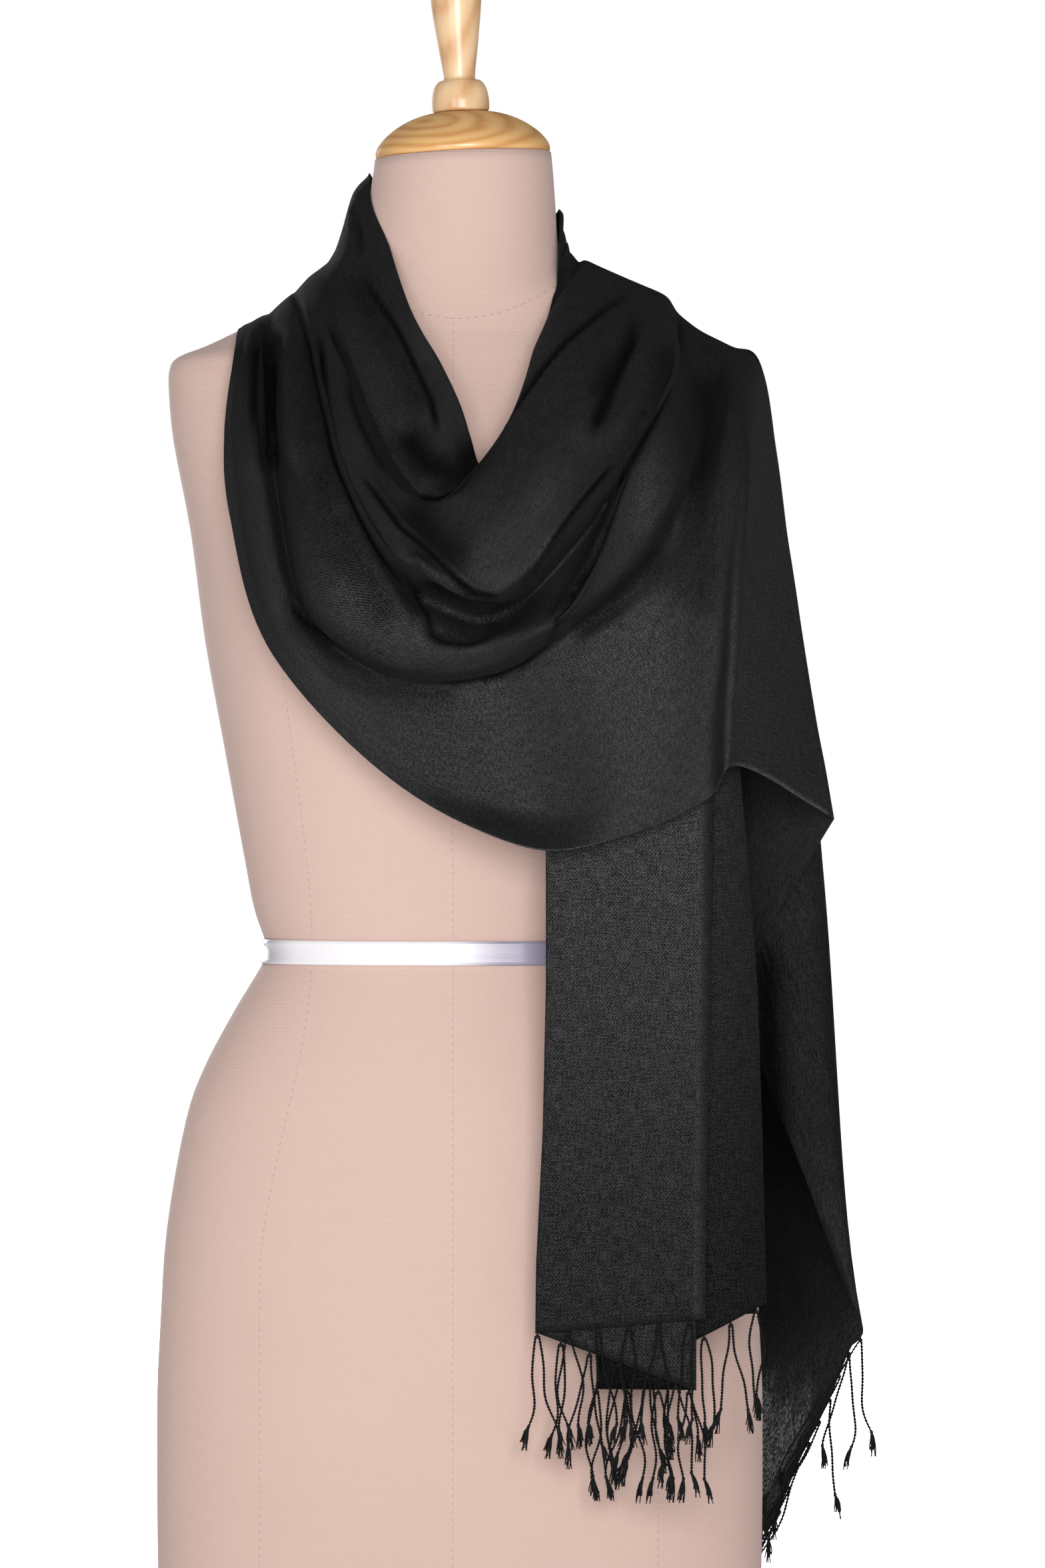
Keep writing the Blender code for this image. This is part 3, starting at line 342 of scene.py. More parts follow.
# Light of the room on the object, dull and mirrored, and lights as (name, place, aim, size, power)
ROOM_LIGHT = 0.32
ROOM_GLOSS = 0.08
LIGHTS = (
    ("key", (0.26, -2.7, 0.96), (0.0, 0.0, 0.72), 1.2, 49.0),
    ("fill", (-1.9, -4.2, 1.0), (0.0, 0.0, 0.6), 1.5, 36.0),
    ("back", (-1.3, 4.2, 1.25), (0.0, 0.0, 0.6), 1.8, 95.0),
)

# The form, one row for each level: height, half width, depth in front, depth behind, roundness
FORM = (
    (0.0183, 0.1830, 0.100, 0.118, 2.3),
    (0.0600, 0.1870, 0.102, 0.121, 2.3),
    (0.1004, 0.1900, 0.104, 0.124, 2.3),
    (0.1974, 0.1907, 0.106, 0.127, 2.3),
    (0.2478, 0.1890, 0.107, 0.127, 2.3),
    (0.3150, 0.1844, 0.105, 0.122, 2.3),
    (0.3822, 0.1726, 0.100, 0.112, 2.3),
    (0.4158, 0.1609, 0.096, 0.103, 2.3),
    (0.4494, 0.1432, 0.090, 0.093, 2.3),
    (0.4662, 0.1331, 0.087, 0.088, 2.3),
    (0.4815, 0.1240, 0.085, 0.085, 2.3),
    (0.4890, 0.1216, 0.085, 0.085, 2.3),
    (0.4965, 0.1230, 0.085, 0.085, 2.3),
    (0.5166, 0.1298, 0.087, 0.087, 2.3),
    (0.5502, 0.1361, 0.091, 0.091, 2.3),
    (0.6174, 0.1483, 0.099, 0.098, 2.3),
    (0.6846, 0.1604, 0.105, 0.104, 2.35),
    (0.7518, 0.1693, 0.106, 0.107, 2.4),
    (0.8080, 0.1800, 0.098, 0.105, 2.4),
    (0.8400, 0.1832, 0.085, 0.098, 2.4),
    (0.8560, 0.1826, 0.078, 0.092, 2.35),
    (0.8630, 0.1765, 0.075, 0.088, 2.3),
    (0.8695, 0.1600, 0.072, 0.085, 2.2),
    (0.8790, 0.1400, 0.068, 0.080, 2.1),
    (0.8960, 0.1040, 0.064, 0.073, 2.0),
    (0.9120, 0.0720, 0.061, 0.066, 2.0),
    (0.9300, 0.0630, 0.059, 0.063, 2.0),
    (0.9600, 0.0590, 0.057, 0.060, 2.0),
    (0.9893, 0.0555, 0.0555, 0.0555, 2.0),
)
NECK_TILT_FROM = 0.930
BUST = {"across": 0.085, "height": 0.700, "spread": 0.055, "depth": 0.024}
# Rows of FORM where the tape's edges lie, at even heights round its middle
TAPE_LEVELS = (10, 12)

# Turned wood, one row for each point of the profile: radius, height above the foot of the cap
CAP_PROFILE = (
    (0.0000, 0.0275),
    (0.0170, 0.0272),
    (0.0290, 0.0245),
    (0.0390, 0.0200),
    (0.0475, 0.0140),
    (0.0526, 0.0085),
    (0.0547, 0.0045),
    (0.0550, 0.0020),
    (0.0546, 0.0000),
    (0.0000, 0.0000),
)
FINIAL_PROFILE = (
    (0.0000, 0.1390),
    (0.0075, 0.1375),
    (0.0135, 0.1310),
    (0.0163, 0.1200),
    (0.0165, 0.1090),
    (0.0155, 0.0930),
    (0.0126, 0.0700),
    (0.0104, 0.0550),
    (0.0100, 0.0482),
    (0.0128, 0.0472),
    (0.0152, 0.0449),
    (0.0169, 0.0412),
    (0.0178, 0.0365),
    (0.0180, 0.0320),
    (0.0177, 0.0285),
    (0.0170, 0.0278),
    (0.0000, 0.0278),
)

# The folds of the wound stretch, from the neck edge to the lower selvedge, in millimetres.
# Each row is one ridge or valley, as (name, swell, nape, start, front). Its front points run from
# the top of the right shoulder, down across the chest and up to the top of the left shoulder, as
# (across, up). swell is how far it stands off the chest at the middle. nape is its (up, swell)
# behind the neck, and start its (across, up) on the left shoulder, under the end that crosses it.
FOLDS = (
    ("neck_edge", 14, (974, 6), (63, 950), ((-56, 974), (-32, 894), (-11, 854), (1, 828), (7, 809),
     (13, 790), (22, 790), (38, 814), (47, 852), (57, 891), (67, 930))),
    ("collar_ridge", 24, (958, 15), (66, 936), ((-67, 962), (-45, 889), (-26, 842), (-13, 809),
     (-6, 786), (3, 774), (22, 776), (42, 804), (54, 843), (62, 884), (70, 928))),
    ("pocket", 14, (930, 8), (69, 918), ((-77, 932), (-74, 886), (-57, 830), (-44, 801), (-31, 780),
     (-13, 761), (15, 763), (46, 794), (62, 835), (68, 877), (75, 922))),
    ("cowl_lip", 42, (934, 22), (74, 915), ((-83, 922), (-82, 886), (-64, 834), (-53, 809), (-37, 777),
     (-14, 766), (10, 787), (30, 816), (42, 847), (54, 886), (79, 924))),
    ("first_roll", 56, (914, 26), (80, 912), ((-88, 918), (-87, 881), (-69, 830), (-58, 802),
     (-43, 764), (-15, 747), (18, 757), (48, 792), (66, 835), (80, 877), (88, 920))),
    ("first_roll_face", 60, (898, 24), (86, 909), ((-95, 913), (-90, 878), (-75, 827), (-64, 795),
     (-45, 752), (-15, 735), (24, 733), (62, 770), (90, 817), (103, 865), (108, 911))),
    ("first_roll_foot", 62, (884, 24), (92, 906), ((-100, 908), (-93, 876), (-79, 823), (-70, 787),
     (-44, 739), (-14, 723), (24, 710), (70, 757), (108, 806), (132, 852), (130, 902))),
    ("hollow", 26, (890, 9), (98, 902), ((-104, 903), (-95, 871), (-83, 818), (-73, 782), (-46, 730),
     (-17, 704), (26, 696), (73, 741), (107, 792), (135, 846), (136, 892))),
    ("second_roll", 46, (876, 20), (104, 901), ((-108, 901), (-99, 874), (-87, 821), (-77, 784),
     (-51, 728), (-17, 686), (26, 683), (72, 707), (101, 774), (131, 832), (140, 888))),
    ("second_roll_foot", 38, (848, 20), (112, 897), ((-115, 895), (-111, 869), (-106, 822), (-101, 774),
     (-84, 705), (-35, 667), (20, 667), (66, 696), (107, 735), (142, 797), (149, 881))),
    ("crease", 13, (854, 8), (118, 892), ((-120, 890), (-119, 863), (-116, 817), (-111, 768),
     (-92, 696), (-40, 659), (22, 660), (75, 691), (124, 731), (153, 813), (156, 877))),
    ("panel_top", 14, (834, 10), (124, 890), ((-124, 889), (-122, 862), (-121, 816), (-117, 766),
     (-97, 691), (-40, 645), (30, 637), (87, 662), (142, 715), (167, 826), (172, 869))),
    ("panel_upper", 15, (810, 8), (130, 887), ((-128, 887), (-126, 861), (-127, 815), (-122, 764),
     (-102, 686), (-40, 632), (36, 617), (95, 635), (148, 682), (176, 794), (190, 858))),
    ("panel_middle", 15, (786, 7), (136, 884), ((-131, 885), (-131, 860), (-133, 814), (-129, 762),
     (-106, 682), (-40, 620), (40, 596), (100, 611), (150, 647), (176, 738), (203, 777))),
    ("panel_lower", 14, (760, 6), (142, 881), ((-135, 883), (-135, 859), (-139, 813), (-135, 760),
     (-111, 678), (-40, 607), (42, 575), (103, 586), (150, 615), (174, 670), (219, 668))),
    ("lower_selvedge", 12, (736, 5), (148, 878), ((-138, 880), (-140, 858), (-145, 811), (-141, 758),
     (-115, 675), (-40, 596), (44, 555), (105, 563), (152, 584), (172, 605), (236, 572))),
)
# The width of silk in each of them
FOLD_WIDTH = SHAWL_WIDTH / (len(FOLDS) - 1)
# Share of a fold's swell that shows at each front point, from shoulder to shoulder
SWELL_SHARE = (0.0, 0.38, 0.66, 0.8, 0.95, 1.0, 1.0, 0.92, 0.7, 0.45, 0.0)
# First fold row whose last points turn round the arm side instead of lying on the shoulder
ARM_ROW = 11
# How far behind the front plane those rows lie, in millimetres: at the arm ridge, at the outer fold
ARM_DEPTH = ((-96, -8), (-112, -2), (-132, 0), (-146, 0), (-152, 2))
# Column of the net that lies on the right shoulder
RIGHT_SHOULDER = 7
# Where its columns lie round the nape, from shoulder to shoulder
NAPE_SHARES = (0.14, 0.32, 0.5, 0.68, 0.86)
# How round the nape's path is, seen from above, and how fast it drops to the shoulders
NAPE_ROUNDING = 0.8
NAPE_DROP = 2.4

# The lengthwise folds of the front end: level, then in millimetres the sideways place of each fold
# from the outer selvedge inwards, the depth of its back face, and how far its layers lie apart
FALL = (
    (0.862, 112, 58, 108, 84, 120, 62, 117, 76.5, 1.60),
    (0.820, 122, 58, 116, 84, 132, 62, 130, 98.5, 1.65),
    (0.770, 136, 58, 128, 85, 144, 64, 142, 116.5, 1.70),
    (0.745, 141, 58, 132, 85, 150, 63, 147, 120.5, 1.72),
    (0.710, 148, 56, 138, 85, 160, 60, 156, 123.5, 1.75),
    (0.640, 156, 54, 144, 85, 170, 58, 166, 124.5, 1.80),
    (0.560, 157, 54, 146, 85, 177, 58, 172, 124.5, 1.90),
    (0.470, 155, 54, 146, 85, 184, 58, 178, 124.0, 2.00),
    (0.380, 153, 52, 146, 85, 187, 56, 181, 123.0, 2.10),
    (0.300, 152, 48, 146, 85, 189, 52, 183, 122.0, 2.20),
    (0.220, 151, 47, 146, 85, 191, 51, 185, 121.0, 2.30),
)
# Height of the fringed end along the same folds, in metres
FALL_HEM = (0.266, 0.257, 0.222, 0.2225, 0.274, 0.262, 0.268)
FALL_TOP = 0.862
# Where the gathered cloth leaves the top of that end for the shoulder, inner and outer side
GATHER = (Vector((0.058, -0.0800, 0.8665)), Vector((0.119, -0.0800, 0.8665)))
GATHER_WAVE = 0.0016
# How many of its layers show their fringe
SHOWN_LAYERS = 4

# The cascade behind the left arm: level, then (across, back) of each fold in millimetres, from the
# outer fold that it shares with the cowl to the edge that lies nearest the spine
TAIL = (
    (0.930, (192, 3), (186, 12), (190, 18), (168, 34), (140, 50), (120, 58), (100, 64), (84, 64),
     (66, 66)),
    (0.880, (196, 3), (188, 22), (194, 28), (176, 60), (150, 84), (124, 88), (100, 96), (78, 94),
     (54, 98)),
    (0.830, (199, 3), (189, 30), (197, 36), (186, 80), (156, 108), (126, 112), (99, 124), (73, 120),
     (46, 126)),
    (0.780, (203, 3), (184, 34), (203, 40), (190, 90), (158, 122), (126, 126), (98, 142), (68, 136),
     (38, 144)),
    (0.640, (225, 3), (170, 24), (226, 44), (198, 112), (166, 142), (134, 128), (104, 152), (70, 134),
     (34, 150)),
    (0.500, (240, 3), (170, 22), (241, 44), (194, 140), (164, 158), (134, 132), (100, 158), (62, 134),
     (24, 152)),
    (0.340, (252, 3), (196, 36), (250, 44), (196, 152), (164, 168), (132, 140), (96, 166), (56, 142),
     (16, 156)),
    (0.280, (257, 3), (200, 62), (256, 44), (197, 154), (164, 170), (131, 142), (95, 168), (54, 144),
     (13, 158)),
    (0.230, (262, 3), (202, 62), (266, 44), (198, 156), (164, 174), (130, 144), (94, 172), (52, 146),
     (10, 160)),
)
# Number of its last fold, and how much of the cloth's length it takes
TAIL_LAST = len(TAIL[0]) - 2
TAIL_LENGTH = 0.9
# How far below the shoulder each fold has drawn aside to its place, as (fold number, drop)
TAIL_FALL = ((0.0, 0.05), (2.0, 0.06), (3.0, 0.12), (8.0, 0.20))
# How much closer the cascade's levels lie near the shoulder
TAIL_CROWDING = 2.2
# Row of FOLDS that lies at the corner of the left shoulder
TAIL_CORNER_ROW = 12
# How far below its crest the cloth has turned over the shoulder
TAIL_OVER = 0.03
# How much of each stretch between two folds belongs to the turn at its end
TURN_SHARE = 0.2
# Fold at whose foot the selvedge meets the fringed end
HEM_CORNER = 2
# The cut of its foot, as (fold number, height): its selvedge from the outer fold inwards, then,
# from fold 2 on, its fringed end
TAIL_CUT = (
    (0.0, 0.572), (0.6, 0.506), (1.0, 0.440), (1.15, 0.400), (1.85, 0.262), (2.0, 0.247),
    (2.25, 0.234), (2.45, 0.196), (2.7, 0.158), (2.9, 0.121), (3.07, 0.106), (3.4, 0.150),
    (4.0, 0.215), (5.2, 0.225), (6.4, 0.215), (8.0, 0.232),
)


def between(a, b, share):
    return a + (b - a) * share


def ease(x):
    """0 to 1 with a level start and end."""
    x = min(max(x, 0.0), 1.0)
    return x * x * (3.0 - 2.0 * x)


def fractions(start, end, count):
    return [between(start, end, i / count) for i in range(count + 1)]


def spline(points, at, sharpness=None):
    """Smooth curve through vectors, where at runs from 0 to the last index.

    It bends sharply at each point as far as its sharpness says.
    """
    last = len(points) - 1
    at = min(max(at, 0.0), float(last))
    index = min(int(at), last - 1)
    t = at - index
    b = points[index]
    c = points[index + 1]
    run = c - b
    leave = (c - points[index - 1]) * 0.5 if index > 0 else run
    arrive = (points[index + 2] - b) * 0.5 if index + 2 <= last else run
    if sharpness:
        leave = between(leave, run, sharpness[index])
        arrive = between(arrive, run, sharpness[index + 1])
    tt = t * t
    ttt = tt * t
    return (b * (2.0 * ttt - 3.0 * tt + 1.0) + leave * (ttt - 2.0 * tt + t)
            + c * (3.0 * tt - 2.0 * ttt) + arrive * (ttt - tt))


def table_at(rows, at):
    """The table's numbers at a place, read straight between its rows. Rows run up or down."""
    ordered = rows if rows[0][0] < rows[-1][0] else rows[::-1]
    if at <= ordered[0][0]:
        return ordered[0][1:]
    for low, high in zip(ordered, ordered[1:]):
        if at <= high[0]:
            share = (at - low[0]) / (high[0] - low[0])
            return tuple(between(Vector(p), Vector(q), share) if isinstance(p, tuple)
                         else between(p, q, share) for p, q in zip(low[1:], high[1:]))
    return ordered[-1][1:]


def line_at(points, at):
    """Height of a broken line of (place, height) points."""
    return table_at(points, at)[0]


def waves(table, a, b):
    """A sum of sines, each given as (size, turn for each a, turn for each b, start)."""
    return sum(size * math.sin(a * p + b * q + start) for size, p, q, start in table)


def bust(x, z):
    """How far the bust stands out at a place on the front."""
    total = 0.0
    for side in (-1.0, 1.0):
        away = (x - side * BUST["across"]) ** 2 + (z - BUST["height"]) ** 2
        total += math.exp(-away / (2.0 * BUST["spread"] ** 2))
    return BUST["depth"] * total


def form_point(level, angle):
    """A point of the form's skin at one level of its table."""
    height, half_width, front, back, roundness = level
    c = math.cos(angle)
    s = math.sin(angle)
    x = half_width * math.copysign(abs(c) ** (2.0 / roundness), c)
    depth = abs(s) ** (2.0 / roundness)
    if s < 0.0:
        y = -front * depth - bust(x, height) * min(1.0, depth * 1.5)
    else:
        y = back * depth
    tilt = ease((height - NECK_TILT_FROM) / (CAP_FOOT.z - NECK_TILT_FROM))
    return Vector((x + CAP_FOOT.x * tilt, y, height + x * math.tan(CAP_TILT) * tilt))


def form_points():
    """Rows of points of the form's skin, finer than its solid's."""
    rows = [Vector(row) for row in FORM]
    levels = [spline(rows, i / FORM_STEPS) for i in range(FORM_STEPS * (len(rows) - 1) + 1)]
    angles = fractions(0.0, math.tau, FORM_SIDES)
    return [[form_point(level, angle) for angle in angles] for level in levels]


def sheet_bmesh(bm, points, flat, shades=None):
    """Draws a grid through rows of points. flat gives each one's place in the cloth, in metres."""
    rows = len(points) - 1
    columns = len(points[0]) - 1
    layer = bm.loops.layers.uv.verify()
    crease = bm.verts.layers.float.get("crease")
    made = bmesh.ops.create_grid(bm, x_segments=columns, y_segments=rows, size=0.5)
    place = {}
    for vert in made["verts"]:
        column = round((vert.co.x + 0.5) * columns)
        row = round((vert.co.y + 0.5) * rows)
        vert.co = points[row][column]
        place[vert] = flat[row][column]
        # shades, when given, are painted shade, kept in each point's crease attribute
        if shades:
            vert[crease] = shades[row][column]
    for face in {face for vert in made["verts"] for face in vert.link_faces}:
        for loop in face.loops:
            loop[layer].uv = place[loop.vert]
    return made["verts"]


def weld(bm, near=1e-6, fill=False):
    """Joins the points that meet, fills open ends if asked, and turns the faces outwards."""
    bmesh.ops.remove_doubles(bm, verts=bm.verts[:], dist=near)
    if fill:
        bmesh.ops.holes_fill(bm, edges=bm.edges[:], sides=0)
    bmesh.ops.recalc_face_normals(bm, faces=bm.faces[:])


def new_object(name, bm, smooth=False):
    """Puts a bmesh into the scene as an object of its own."""
    mesh = bpy.data.meshes.new(name)
    bm.to_mesh(mesh)
    bm.free()
    if smooth:
        mesh.shade_smooth()
    obj = bpy.data.objects.new(name, mesh)
    bpy.context.scene.collection.objects.link(obj)
    return obj


def finish_piece(name, bm, material, slot, *nodes, wall=0.0):
    """Puts a bmesh into the scene in place of its solids. wall is the thickness of an open sheet."""
    piece = new_object(name, bm, smooth=True)
    piece.data.materials.append(material)
    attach(piece, "root")
    if wall > 0.0:
        thickness = piece.modifiers.new("thickness", "SOLIDIFY")
        thickness.thickness = wall
        thickness.offset = 0.0
    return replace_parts(piece, *nodes)


def joined_tree(*grids):
    """A search tree over several grids, each a list of rows of points."""
    points = []
    faces = []
    for grid in grids:
        start = len(points)
        width = len(grid[0])
        for line in grid:
            points.extend(line)
        for i in range(len(grid) - 1):
            for j in range(width - 1):
                corner = start + i * width + j
                faces.append([corner, corner + 1, corner + width + 1, corner + width])
    return BVHTree.FromPolygons(points, faces)


def lay_on(tree, point, way, clearance):
    """Moves a point back against way, where it lies nearer than clearance to what it is laid on."""
    start = point - way
    hit = tree.ray_cast(start, way)[0]
    if hit is None:
        return point
    deepest = (hit - start).length - clearance
    return start + way * deepest if deepest < 1.0 else point


def push_out(tree, point, clearance):
    """Moves a point straight off the nearest skin until it has its clearance."""
    near, normal, _, distance = tree.find_nearest(point)
    if (point - near).dot(normal) < 0.0 or distance < 1e-6:
        return near + normal * clearance
    if distance < clearance:
        return near + (point - near).normalized() * clearance
    return point


def lay_round(tree, point, clearance):
    """Moves a point away from the inside of the form until it clears what it is laid on."""
    across = min(max(point.x * BONE_SHARE, -BONE_REACH), BONE_REACH)
    inside = Vector((across, 0.0, min(point.z, BONE_HEIGHT)))
    out = (point - inside).normalized()
    hit = tree.ray_cast(inside + out, -out)[0]
    if hit is None:
        return point
    needed = (hit - inside).length + clearance
    return inside + out * max(needed, (point - inside).length)


def moved(grid, placed, chosen=lambda p: True):
    """A grid with each chosen point moved to where placed puts it."""
    return [[placed(p) if chosen(p) else p for p in line] for line in grid]


def relaxed(grid, times, share):
    """A grid eased towards the middle of each point's neighbours, apart from its edges."""
    for _ in range(times):
        eased = [list(line) for line in grid]
        for i in range(1, len(grid) - 1):
            for j in range(1, len(grid[0]) - 1):
                middle = (grid[i - 1][j] + grid[i + 1][j] + grid[i][j - 1] + grid[i][j + 1])
                eased[i][j] = between(grid[i][j], middle * 0.25, share)
        grid = eased
    return grid


def eased_across(grid, times, height):
    """A grid eased from fold to fold where it lies above a height, so that its crest runs smooth."""
    for _ in range(times):
        eased = [list(line) for line in grid]
        for i in range(1, len(grid) - 1):
            for j, point in enumerate(grid[i]):
                share = 0.5 * ease((point.z - height) / CREST_FADE)
                if share > 0.0:
                    eased[i][j] = between(point, (grid[i - 1][j] + grid[i + 1][j]) * 0.5, share)
        grid = eased
    return grid


def hang_depth(tree, x, z):
    """How far forward cloth hangs at a place: on what it covers, or straight down from it."""
    deepest = HANG_BACKSTOP
    for aside in (-HANG_SPREAD, 0.0, HANG_SPREAD):
        for step in range(HANG_STEPS):
            start = Vector((x + aside, -1.0, z + step * HANG_STEP))
            hit = tree.ray_cast(start, FORWARD)[0]
            if hit is not None:
                deepest = min(deepest, hit.y + step * HANG_SLOPE)
    return deepest


def wound_net(form_tree, chest_tree):
    """The net of points that the wound stretch is drawn through: a row for each fold.

    Its columns run from the top of the folded end over the left shoulder, round the nape, over
    the right shoulder, across the chest and back to the left shoulder.
    """
    net = []
    for index, (name, swell, nape, start, front) in enumerate(FOLDS):
        right = Vector((front[0][0] * MM, 0.0, front[0][1] * MM))
        left = Vector((start[0] * MM, 0.0, start[1] * MM))
        height, stand = nape[0] * MM, nape[1] * MM
        depth = form_tree.ray_cast(Vector((0.0, 1.0, height)), BACKWARD)[0].y + stand
        gather = between(GATHER[0], GATHER[1], index / (len(FOLDS) - 1.0))
        row = [gather + Vector((0.0, GATHER_WAVE * (-1.0) ** index, 0.0)), left]
        for share in NAPE_SHARES:
            angle = math.pi * share
            top = left if share < 0.5 else right
            reach = abs(math.cos(angle))
            x = top.x * reach ** NAPE_ROUNDING
            z = between(height, top.z, reach ** NAPE_DROP)
            row.append(Vector((x, depth * math.sin(angle) ** NAPE_ROUNDING, z)))
        row.append(right)
        for column, (across, up) in enumerate(front[1:], 1):
            x = across * MM
            z = up * MM
            arm = index - ARM_ROW
            if arm >= 0 and column >= len(front) - 2:
                y = ARM_DEPTH[arm][column - len(front) + 2] * MM
            elif column == len(front) - 1:
                y = 0.0
            else:
                extra = SWELL_EXTRA.get(name, {}).get(column, 0.0)
                y = hang_depth(chest_tree, x, z) - (swell * SWELL_SHARE[column] + extra) * MM
            row.append(Vector((x, y, z)))
        net.append(row)
    return net


def net_rows(net, rows):
    """The net's columns, read at finer places across its folds."""
    columns = [[line[k] for line in net] for k in range(len(net[0]))]
    return [[spline(column, across, FOLD_SHARPNESS) for column in columns] for across in rows]


def out_of_grid(grid, i, j):
    """The way straight out of a grid of points at one of them."""
    ahead = grid[i][min(j + 1, len(grid[0]) - 1)] - grid[i][max(j - 1, 0)]
    beside = grid[min(i + 1, len(grid) - 1)][j] - grid[max(i - 1, 0)][j]
    out = beside.cross(ahead)
    return out.normalized() if out.length > 1e-9 else BACKWARD.copy()


def gathered(grid, rows, places):
    """A grid with the small pleats that run along the cloth where it is bunched."""
    made = [list(line) for line in grid]
    for i in range(1, len(grid) - 1):
        for j, place in enumerate(places):
            size = line_at(PLEAT_SIZE, place) * MM
            if size > 0.0 and j > 0:
                wave = waves(PLEAT_WAVES, rows[i], place) + PLEAT_RISE
                made[i][j] = grid[i][j] + out_of_grid(grid, i, j) * (size * wave)
    return made


def pixel_of(point):
    """Where a point shows in the photograph."""
    size = PIXEL * (CAMERA_AWAY + point.y) / CAMERA_AWAY
    return (VIEW_WIDTH / 2.0 + (point.x - CAMERA_ACROSS) / size,
            VIEW_HEIGHT / 2.0 - (point.z - CAMERA_HEIGHT) / size)


def beside_line(line, across, up):
    """How far a pixel lies to the right of a line of pixels, and how near that is to its ends."""
    nearest = None
    passed = 0.0
    total = 0.0
    for (ax, ay), (bx, by) in zip(line, line[1:]):
        run_x, run_y = bx - ax, by - ay
        length = math.hypot(run_x, run_y)
        share = ((across - ax) * run_x + (up - ay) * run_y) / (length * length)
        share = min(max(share, 0.0), 1.0)
        off_x = across - ax - run_x * share
        off_y = up - ay - run_y * share
        off = math.hypot(off_x, off_y)
        if nearest is None or off < nearest:
            nearest = off
            side = math.copysign(1.0, run_x * off_y - run_y * off_x)
            passed = total + share * length
        total += length
    return nearest * side, min(passed, total - passed)


def crease_at(across, up):
    """How far the creases push cloth out at a pixel, in metres, and the painted shade there."""
    push = 0.0
    shade = 0.0
    for kind, height, width, line in CREASES:
        reach = CREASE_REACH * width
        if not (min(p[0] for p in line) - reach < across < max(p[0] for p in line) + reach
                and min(p[1] for p in line) - reach < up < max(p[1] for p in line) + reach):
            continue
        off, end = beside_line(line, across, up)
        if abs(off) > reach:
            continue
        fade = ease(end / CREASE_FADE)
        bump = math.exp(-(off / width) ** 2) * fade
        # Painted shade: shade rows by their height, hollow bumps by their depth, steps at their low
        # foot
        if kind == "shade":
            shade = max(shade, height * bump)
        elif kind == "bump":
            push += height * MM * bump
            shade = max(shade, min(-height / 6.0, 0.9) * bump)
        else:
            low_side = -math.exp(off / (0.7 * width)) if off < 0.0 else -1.0
            high_side = math.exp(-off / width) if off > 0.0 else 1.0
            high = ease(0.5 + off / (2.0 * CREASE_EDGE))
            push += height * MM * fade * between(low_side, high_side, high)
            foot = math.exp(-((off + 1.2 * CREASE_EDGE) / (1.9 * CREASE_EDGE)) ** 2)
            shade = max(shade, foot * fade * min(height / 2.0, 1.0))
    return push, shade


def creased_grid(grid):
    """A grid with the photograph's creases pressed in, and the painted shade of each point."""
    made = []
    shades = []
    for i, line in enumerate(grid):
        new = []
        shade_line = []
        for j, point in enumerate(line):
            out = out_of_grid(grid, i, j)
            wave = noise.noise(point * WRINKLE_PITCH) * WRINKLE
            facing = ease((-out.y - 0.15) / 0.4) if point.y < 0.0 else 0.0
            push, shade = crease_at(*pixel_of(point)) if facing > 0.0 else (0.0, 0.0)
            new.append(point + out * (push * facing + wave))
            shade_line.append(min(shade * facing, 1.0))
        made.append(new)
        shades.append(shade_line)
    return made, shades


def fall_section(height):
    """The folded end seen from above at one height: where each layer turns."""
    *places, back, pitch = table_at(FALL, height)
    corners = []
    for layer, across in enumerate(places[:-1]):
        depth = -back * MM - pitch * MM * (len(places) - 2 - layer)
        if layer > 0:
            corners.append(Vector((across * MM, depth - pitch * MM, 0.0)))
        corners.append(Vector((across * MM, depth, 0.0)))
    corners.append(Vector((places[-1] * MM, -back * MM, 0.0)))
    return corners


def fall_point(corners, layer, share, turn):
    """A point of one layer of the folded end, or of the turn at its end, seen from above."""
    start = corners[2 * layer]
    end = corners[2 * layer + 1]
    way = math.copysign(1.0, end.x - start.x)
    radius = (corners[2].y - corners[0].y) / 2.0
    if turn:
        angle = math.pi * share
        return Vector((end.x + way * radius * (math.sin(angle) - 1.0),
                       end.y + radius * (1.0 - math.cos(angle)), 0.0))
    first = start.x + way * radius if layer > 0 else start.x
    last = end.x - way * radius if layer < len(FALL_HEM) - 2 else end.x
    return Vector((between(first, last, share), start.y, 0.0))


def fall_wave(x, z):
    """The slow waves that run down the folded end, the same through all its layers."""
    drop = ease((FALL_TOP - z) / 0.25)
    turn = max(0.0, (x - FALL_TURN_FROM) / (FALL_TURN_TO - FALL_TURN_FROM))
    wave = FALL_WAVE * math.sin(34.0 * x + 5.0 * z + 0.6) * math.cos(4.3 * z + 9.0 * x)
    return drop * (wave + FALL_TURN_BACK * turn ** 1.4)


def lengths_along(line, start=0.0):
    """How far along a line of points each one lies."""
    reach = [start]
    for a, b in zip(line, line[1:]):
        reach.append(reach[-1] + (b - a).length)
    return reach


